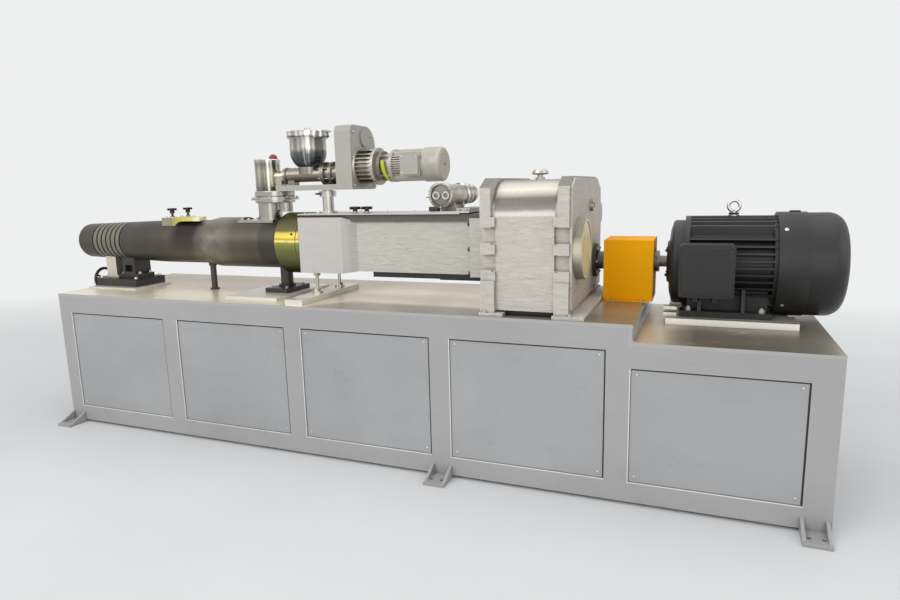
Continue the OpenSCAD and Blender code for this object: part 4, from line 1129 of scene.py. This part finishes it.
@dataclass
class Feeder(SubAssembly):
    """The hopper bowl, feed screw, gear case, reducer and small motor."""

    case_screw: float = 0.008
    box_screw: float = 0.005
    latch: float = 0.014
    lead: float = 0.0095
    lead_reach: float = 0.0705

    def build(self) -> None:
        """Dresses the feeder and adds its small pieces."""
        middle = (box_of("hopper_lid").middle.x, box_of("hopper_bowl").middle.y)
        self.dress(Banded.over("hopper_bowl", "bowl_steel", "Z", BOWL_REFLECTION_BANDS, roughness=0.18, metallic=0.9,
                               middle=middle), "hopper_bowl", "hopper_lid")
        self.dress(Palette.MILLED, "feeder_column")
        self.dress(Palette.TUBE, "screw_tube")
        self.dress(Palette.FEEDER, "gear_case", "feeder_terminal_box", "feeder_plate", edge=0.001)
        self.dress(Banded.over("reducer", "reducer_metal", "X", REDUCER_BANDS, roughness=0.36, metallic=0.5,
                               blur=0.02), "reducer", edge=0.001)
        self.dress(Banded.over("feeder_motor", "feeder_motor_paint", "X", FEED_MOTOR_BANDS, roughness=0.38,
                               metallic=0.15, blur=0.01), "feeder_motor", edge=0.001)
        self._cowl_vents()
        self._latch()
        self._case_screws()
        self._earth_lead()

    def _cowl_vents(self) -> None:
        """Adds the rows of vents on the small motor's end as dark discs: painted shade in the holes."""
        sketch = Sketch("cowl_vents")
        motor = box_of("feeder_motor")
        center = (motor.high.x - 0.0001, motor.middle.y, motor.middle.z)
        for radius, count in ((0.018, 8), (0.032, 14), (0.046, 20), (0.059, 26)):
            for place in circle_of(center, radius, count, Facing.RIGHT, radius * 900.0):
                sketch.revolve([(0.0024, 0.0), (0.0022, 0.0004), (0.0, 0.0004)], Facing.RIGHT.at(place), 8)
        sketch.revolve([(0.008, 0.0), (0.0076, 0.0005), (0.0, 0.0006)], Facing.RIGHT.at(center), 20)
        sketch.finish(Palette.DARK_STEEL)

    def _latch(self) -> None:
        """Adds the toggle latch on the left of the bowl."""
        sketch = Sketch("bowl_latch")
        bowl = box_of("hopper_bowl")
        x, y, top, half = bowl.low.x, bowl.middle.y, bowl.high.z, self.latch
        sketch.slab((x - 0.004, y - half, top - 0.026), (x + 0.002, y + half, top - 0.004), 0.0012)
        for side in (-0.009, 0.009):
            route = [Vector((x - 0.006, y + side, top - 0.022 + 0.002 * i)) for i in range(12)]
            sketch.pipe(route, 0.0022, 10)
        sketch.finish(Palette.DARK_STEEL)

    def _case_screws(self) -> None:
        """Adds the screws of the gear case and the terminal box."""
        sketch = Sketch("feeder_screws")
        case = box_of("gear_case")
        low, high = case.low, case.high
        spots = ((low.y + 0.02, low.z + 0.02), (high.y - 0.03, low.z + 0.03), (low.y + 0.03, high.z - 0.035),
                 (high.y - 0.05, high.z - 0.05), (low.y + 0.02, case.middle.z))
        sketch.bolts(Head.SOCKET, self.case_screw, Facing.RIGHT, ((high.x - 0.008, y, z) for y, z in spots))
        box = box_of("feeder_terminal_box")
        sketch.bolts(Head.PAN, self.box_screw, Facing.FRONT,
                     product(box.inset("x", 0.014), (box.low.y,), box.inset("z", 0.014)))
        sketch.finish(Palette.MILLED)

    def _earth_lead(self) -> None:
        """Adds the short lime lead round the adapter."""
        sketch = Sketch("lime_tie")
        motor = box_of("feeder_motor")
        route = []
        for i in range(41):
            angle = math.radians(70.0 + 150.0 * i / 40.0)
            route.append(Vector((motor.low.x + 0.045 + 0.028 * i / 40.0,
                                 motor.middle.y - self.lead_reach * math.sin(angle),
                                 motor.middle.z + self.lead_reach * math.cos(angle))))
        sketch.pipe(route, self.lead, 14)
        sketch.finish(Palette.LIME, "feeder_paint")


@dataclass
class GearTrain(SubAssembly):
    """The distribution box, the cast gearbox, their covers and the oil cooler."""

    flange_bolt: float = 0.014
    cover_screw: float = 0.0055
    cover_pitch: float = 0.162
    bearing_bolt: float = 0.008
    bearing_circle: float = 0.068
    foot_nut: float = 0.01
    cooler_screw: float = 0.005
    cooler_circle: float = 0.0545
    bracket_bolt: float = 0.008
    port: float = 0.024
    under: float = 0.925

    def build(self) -> None:
        """Dresses the gear train and adds its bolts."""
        casing, box = box_of("gearbox_casing"), box_of("distribution_box")
        drum = (casing.low.x + 0.065, casing.high.x - 0.13, casing.low.z + 0.43, casing.high.z)
        self.dress(Putty("casing_paint", srgb(194, 189, 180), drum=drum), "gearbox_casing", edge=0.003)
        self.dress(Putty("box_paint", srgb(192, 189, 181), smooth_to=box.low.x + 0.28), "distribution_box",
                   edge=0.008)
        self.dress(Palette.GEARBOX, "end_cover", edge=0.003)
        self.dress(Palette.RIM, "cover_rim")
        self._shade_slabs_and_pan()
        self.dress(Palette.PLATE, "cover_plate", "cooler_bracket")
        self.dress(Palette.MILLED, "breather")
        self.dress(Turned("cover_metal", srgb(168, 160, 142), srgb(214, 202, 164), srgb(58, 55, 50), 0.08),
                   "bearing_covers")
        self.dress(Banded.over("oil_cooler", "cooler_metal", "Z", COOLER_REFLECTION_BANDS, roughness=0.24,
                               metallic=0.85), "oil_cooler")
        self._flange_bolts()
        self._cover_bolts()
        self._foot_nuts()
        self._cooler_details()

    def _flange_bolts(self) -> None:
        """Adds the bolts on the left face of the box's rear flange and the screws of the cover plate."""
        sketch = Sketch("box_bolts")
        box = box_of("distribution_box")
        levels = (box.low.z + 0.018, box.middle.z - 0.01, box.high.z - 0.034)
        sketch.bolts(Head.HEX, self.flange_bolt, Facing.LEFT,
                     product((box.high.x - 0.11,), box.inset("y", 0.017), levels))
        sketch.finish(Palette.DARK_STEEL)
        sketch = Sketch("cover_screws")
        box = box_of("cover_plate")
        rows = [box.low.x + 0.04 + self.cover_pitch * i for i in range(6)]
        sketch.bolts(Head.SOCKET, self.cover_screw, Facing.UP,
                     product(rows, box.inset("y", 0.012), (box.high.z - 0.0025,)))
        sketch.finish(Palette.MILLED)

    def _shade_slabs_and_pan(self) -> None:
        """Adds dark slabs under the box as painted shade, and a dark oil pan under the casing that also
        stands in for the shade in the gap there.
        """
        sketch = Sketch("under_shade_plates_and_pan")
        box, casing = box_of("distribution_box"), box_of("gearbox_casing")
        start, stop, under = box.low.x, casing.low.x, self.under
        # dark slabs under the box: painted shade
        for left, right, inset, low, high, soft in (
                (start + 0.4, stop + 0.02, 0.05, under - 0.028, under + 0.012, 0.003),
                (start + 0.76, stop - 0.02, 0.06, under - 0.034, under - 0.018, 0.003),
                (stop - 0.045, stop + 0.02, 0.05, under - 0.062, under - 0.018, 0.004)):
            front, back = box.inset("y", inset)
            sketch.slab((left, front, low), (right, back, high), soft)
        # dark pan under the casing, partly painted shade in the gap under it
        sketch.slab(casing.low + Vector((0.075, 0.062, 0.001)),
                    (casing.high.x - 0.145, casing.high.y - 0.062, casing.low.z + 0.0235), 0.003)
        sketch.finish(Palette.DARK_IRON, "rim_paint")

    def _cover_bolts(self) -> None:
        """Adds the bolts round the drive shaft's bearing cover."""
        sketch = Sketch("cover_bolts")
        shaft = box_of("drive_coupling").middle
        center = (box_of("bearing_covers").low.x + 0.018, shaft.y, shaft.z)
        sketch.bolts(Head.HEX, self.bearing_bolt, Facing.RIGHT,
                     circle_of(center, self.bearing_circle, 6, Facing.RIGHT, 0.0))
        sketch.finish(Palette.MILLED)

    def _foot_nuts(self) -> None:
        """Adds the nuts on the casing's foot pads."""
        sketch = Sketch("casing_nuts")
        box = box_of("gearbox_casing")
        sketch.bolts(Head.HEX, self.foot_nut, Facing.UP,
                     product(box.inset("x", 0.026, 0.062), box.inset("y", 0.012), (box.low.z + 0.015,)))
        sketch.finish(Palette.MILLED)

    def _cooler_details(self) -> None:
        """Adds the ring's screws, the port nuts and the black block of the oil cooler."""
        sketch = Sketch("cooler_fittings")
        box, plate = box_of("oil_cooler"), box_of("cooler_bracket")
        x, y, z = box.high.x - 0.062, box.low.y, box.middle.z
        sketch.bolts(Head.SOCKET, self.cooler_screw, Facing.FRONT,
                     circle_of((x, y, z), self.cooler_circle, 6, Facing.FRONT, 30.0))
        for side in (-self.port, self.port):
            sketch.revolve([(0.0192, -0.008), (0.0192, 0.001), (0.0175, 0.0022), (0.0118, 0.0022),
                            (0.0104, 0.0008), (0.0104, -0.005), (0.0, -0.005)],
                           Facing.FRONT.at((x + side, y + 0.002, z - 0.002)), 40)
        sketch.bolts(Head.HEX, self.bracket_bolt, Facing.UP,
                     product((plate.high.x - 0.02, plate.high.x - 0.06), (plate.low.y + 0.018,),
                             (plate.low.z + 0.008,)))
        sketch.finish(Palette.MILLED)
        sketch = Sketch("cooler_plate")
        sketch.revolve([(0.0478, -0.0005), (0.0478, 0.0008), (0.0465, 0.0014), (0.0, 0.0014)],
                       Facing.FRONT.at((x, y + 0.0098, z)), 56)
        for side in (-self.port, self.port):
            sketch.revolve([(0.0102, -0.001), (0.0102, 0.0002), (0.0, 0.0002)],
                           Facing.FRONT.at((x + side, y + 0.0065, z - 0.002)), 24)
        sketch.finish(Palette.PORT_PLATE, "cooler_metal")
        sketch = Sketch("cooler_block")
        sketch.slab(plate.low + Vector((-0.002, -0.006, 0.0082)),
                    plate.low + Vector((0.044, 0.03, 0.03)), 0.003)
        sketch.finish(Palette.BLACK)


@dataclass
class DriveLine(SubAssembly):
    """The guarded coupling between gearbox and motor."""

    guard_bolt: float = 0.008
    set_screw: float = 0.006

    def build(self) -> None:
        """Dresses the coupling and its guard, and adds the guard's bolts and the shaft's set screws."""
        self.dress(Palette.GUARD, "coupling_guard", edge=0.002)
        self.dress(Palette.COUPLING, "drive_coupling")
        sketch = Sketch("guard_bolts")
        box = box_of("coupling_guard")
        sketch.bolts(Head.HEX, self.guard_bolt, Facing.UP,
                     product(box.inset("x", 0.05), box.inset("y", 0.012), (box.low.z + 0.003,)))
        sketch.finish(Palette.MILLED)
        sketch = Sketch("coupling_screws")
        box = box_of("drive_coupling")
        for x, radius in zip(box.inset("x", 0.014, 0.048), (0.043, 0.05)):
            sketch.radial(Head.SOCKET, self.set_screw, (x, box.middle.y, box.middle.z), radius, 2, 40.0)
        sketch.finish(Palette.DARK_STEEL, body="drive_shaft")


@dataclass
class MainMotor(SubAssembly):
    """The large finned motor with its cowl, terminal box and rails."""

    box_screw: float = 0.0075
    box_height: float = 0.23
    cowl_screw: float = 0.0095
    foot_bolt: float = 0.018
    foot_reach: float = 0.1725
    bell_bolt: float = 0.009
    bell_circle: float = 0.082
    eye: float = 0.024

    def build(self) -> None:
        """Dresses the motor and adds its bolts, seams and lifting eye."""
        self.dress(Palette.MOTOR, "motor_frame", "motor_cowl", "motor_terminal_box", edge=0.002)
        self.dress(Palette.RAIL_HIGHLIGHT, "motor_rails", edge=0.002)
        self._terminal_box()
        self._cowl_screws()
        self._foot_bolts()
        self._bell_bolts()
        self._cowl_sleeve()
        self._eye()

    def _terminal_box(self) -> None:
        """Adds the screws and the gasket line of the terminal box lid."""
        sketch = Sketch("terminal_screws")
        box = box_of("motor_terminal_box")
        low, high = box.low, box.high
        base = high.z - self.box_height
        sketch.bolts(Head.HEX, self.box_screw, Facing.FRONT,
                     product(box.inset("x", 0.012), (low.y + 0.008,), (base + 0.012, high.z - 0.012)))
        sketch.finish(Palette.MOTOR)
        sketch = Sketch("terminal_gasket")
        sketch.slab((low.x + 0.0095, low.y + 0.0074, base + 0.0095),
                    (high.x - 0.0095, low.y + 0.01, high.z - 0.0095), 0.0003)
        sketch.finish(Palette.DARK_IRON, "black_plastic")

    def _cowl_screws(self) -> None:
        """Adds the bright screws that hold the fan cowl."""
        sketch = Sketch("cowl_screws")
        box = box_of("motor_cowl")
        radius = (box.high.z - box.low.z) / 2.0
        center = (box.low.x + 0.026, box.middle.y, box.middle.z)
        sketch.radial(Head.PAN, self.cowl_screw, center, radius + 0.0034, 4, 45.0)
        sketch.finish(Palette.MILLED)

    def _foot_bolts(self) -> None:
        """Adds the bolts through the motor's feet."""
        sketch = Sketch("foot_bolts")
        low, middle = box_of("motor_frame").low, box_of("drive_coupling").middle.y
        sketch.bolts(Head.HEX, self.foot_bolt, Facing.UP,
                     product((low.x + 0.105, low.x + 0.406),
                             (middle - self.foot_reach, middle + self.foot_reach), (low.z + 0.026,)))
        sketch.finish(Palette.MILLED)

    def _bell_bolts(self) -> None:
        """Adds the bolts of the drive-end bell."""
        sketch = Sketch("bell_bolts")
        shaft = box_of("drive_coupling").middle
        center = (box_of("motor_frame").low.x + 0.0001, shaft.y, shaft.z)
        sketch.bolts(Head.HEX, self.bell_bolt, Facing.LEFT,
                     circle_of(center, self.bell_circle, 4, Facing.LEFT, 45.0))
        sketch.finish(Palette.MOTOR)

    def _cowl_sleeve(self) -> None:
        """Adds the sleeve that laps over the left part of the cowl, with its lug on top."""
        sketch = Sketch("cowl_sleeve")
        box = box_of("motor_cowl")
        radius = (box.high.z - box.low.z) / 2.0
        profile = ((-0.001, -0.0015), (0.003, -0.0015), (0.0042, 0.0), (0.0042, 0.117), (0.003, 0.1195),
                   (-0.001, 0.1195))
        sketch.revolve([(radius + proud, along) for proud, along in profile],
                       Facing.RIGHT.at((box.low.x, box.middle.y, box.middle.z)), 128)
        top = Vector((box.low.x + 0.072, box.middle.y, box.high.z + 0.002))
        sketch.slab(top - Vector((0.022, 0.012, 0.0)), top + Vector((0.022, 0.012, 0.008)), 0.003)
        sketch.finish(Palette.MOTOR)

    def _eye(self) -> None:
        """Adds the bright skin of the lifting eye."""
        sketch = Sketch("lifting_eye")
        box = box_of("motor_frame")
        center = Vector((box.low.x + 0.282, box_of("drive_coupling").middle.y, box.high.z - 0.031))
        angles = [*turns(48), 0.0]
        ring = [center + Vector((self.eye * math.cos(a), 0.0, self.eye * math.sin(a))) for a in angles]
        sketch.pipe(ring, 0.0076, 16)
        sketch.revolve([(0.024, 0.0), (0.024, 0.004), (0.016, 0.009), (0.0105, 0.012), (0.0105, 0.022)],
                       Facing.UP.at(center - Vector((0.0, 0.0, 0.044))))
        sketch.finish(Palette.MILLED)


@dataclass(frozen=True)
class Lamp:
    """A soft square lamp: where it hangs, where it looks, its side in metres and its power in watts."""

    name: str
    place: Point
    aim: Point
    size: float
    power: float

    def hang(self) -> None:
        """Adds the lamp."""
        data = bpy.data.lights.new(self.name, "AREA")
        data.shape = "SQUARE"
        data.size = self.size
        data.energy = self.power
        add_object(self.name, data).matrix_world = looking(self.place, Vector(self.place) - Vector(self.aim))


@dataclass
class Studio:
    """The pale floor, the soft light and the camera, which stands where the photograph was taken."""

    place: Point = (1.508, -2.997, 1.336)
    yaw: float = -21.631
    pitch: float = 10.137
    roll: float = 1.38
    lens: float = 25.252
    sensor: float = 36.0
    floor: float = 45.0
    lamps: tuple[Lamp, ...] = (
        Lamp("key", (-2.4, -5.4, 4.6), (0.0, 0.0, 0.7), 5.0, 222.0),
        Lamp("fill", (3.2, -5.6, 2.6), (0.7, 0.0, 0.9), 3.5, 66.0),
        Lamp("top", (0.5, 0.5, 6.0), (0.3, 0.0, 0.5), 7.0, 160.0),
        Lamp("side", (6.0, -1.0, 3.2), (0.5, 0.0, 0.8), 4.0, 60.0))

    def build(self) -> None:
        """Adds the camera, the floor, the world and the lamps."""
        self._camera()
        self._floor()
        self._world()
        for lamp in self.lamps:
            lamp.hang()
        bpy.context.scene.view_settings.view_transform = "Standard"

    def _pose(self) -> Matrix:
        """Works out the camera's placement, whose X, Y and Z are right, up and back.

        Returns:
            The placement.
        """
        yaw, pitch, roll = (math.radians(v) for v in (self.yaw, self.pitch, self.roll))
        ahead = Vector((math.sin(yaw) * math.cos(pitch), math.cos(yaw) * math.cos(pitch), -math.sin(pitch)))
        right = Vector((math.cos(yaw), -math.sin(yaw), 0.0))
        down = ahead.cross(right)
        turned_right = right * math.cos(roll) + down * math.sin(roll)
        turned_down = down * math.cos(roll) - right * math.sin(roll)
        axes = Matrix((turned_right, -turned_down, -ahead)).transposed().to_4x4()
        return Matrix.Translation(Vector(self.place)) @ axes

    def _camera(self) -> None:
        """Adds the camera at the photograph's viewing angle."""
        data = bpy.data.cameras.new("photo_camera")
        data.sensor_width = self.sensor
        data.sensor_fit = "HORIZONTAL"
        data.lens = self.lens
        data.clip_start = 0.05
        data.clip_end = 200.0
        made = add_object("photo_camera", data)
        made.matrix_world = self._pose()
        bpy.context.scene.camera = made

    def _floor(self) -> None:
        """Adds the floor, which runs into the backdrop's colour further out."""
        sketch = bmesh.new()
        bmesh.ops.create_circle(sketch, cap_ends=True, radius=self.floor, segments=96)
        data = bpy.data.meshes.new("floor")
        sketch.to_mesh(data)
        sketch.free()
        made = add_object("floor", data)
        graph = Graph("floor_paint")
        graph.dress(graph.patches(srgb(216, 217, 218), srgb(223, 224, 225), 0.6, 4.0, 0.3, 0.7), 0.6, 0.0)
        far = graph.add("Emission", {"Color": BACKDROP})
        reach = graph.add("VectorMath", {0: graph.place((0.62, 1.0, 1.0))}, "Value", operation="LENGTH")
        blend = graph.add("MixShader", {0: graph.levels(reach, 1.5, 5.2), 1: graph.shader.outputs[0], 2: far})
        graph.wire(graph.tree.nodes["Material Output"], {"Surface": blend})
        data.materials.append(graph.material)

    def _world(self) -> None:
        """Sets the soft sky, in whose place the camera, metal and glass see the backdrop."""
        world = bpy.data.worlds.new("studio")
        bpy.context.scene.world = world
        world.use_nodes = True
        nodes = Nodes(world.node_tree)
        soft = nodes.tree.nodes["Background"]
        nodes.wire(soft, {"Color": SKY, "Strength": SKY_POWER})
        bright = nodes.add("Background", {"Color": BACKDROP, "Strength": 1.0})
        path = nodes.tree.nodes.new("ShaderNodeLightPath").outputs
        seen = path["Is Camera Ray"]
        for ray in ("Is Glossy Ray", "Is Transmission Ray"):
            seen = nodes.add("Math", {0: seen, 1: path[ray]}, operation="MAXIMUM")
        sky = nodes.add("MixShader", {0: seen, 1: soft.outputs[0], 2: bright})
        nodes.wire(nodes.tree.nodes["World Output"], {"Surface": sky})


def main() -> None:
    """Builds the whole scene in order."""
    logging.basicConfig(level=logging.INFO, format="%(name)s: %(message)s")
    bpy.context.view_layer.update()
    for assembly in (Studio, MachineBase, BarrelLine, FeedInlet, Feeder, GearTrain, DriveLine, MainMotor):
        assembly().build()


if __name__ == "__main__":
    main()
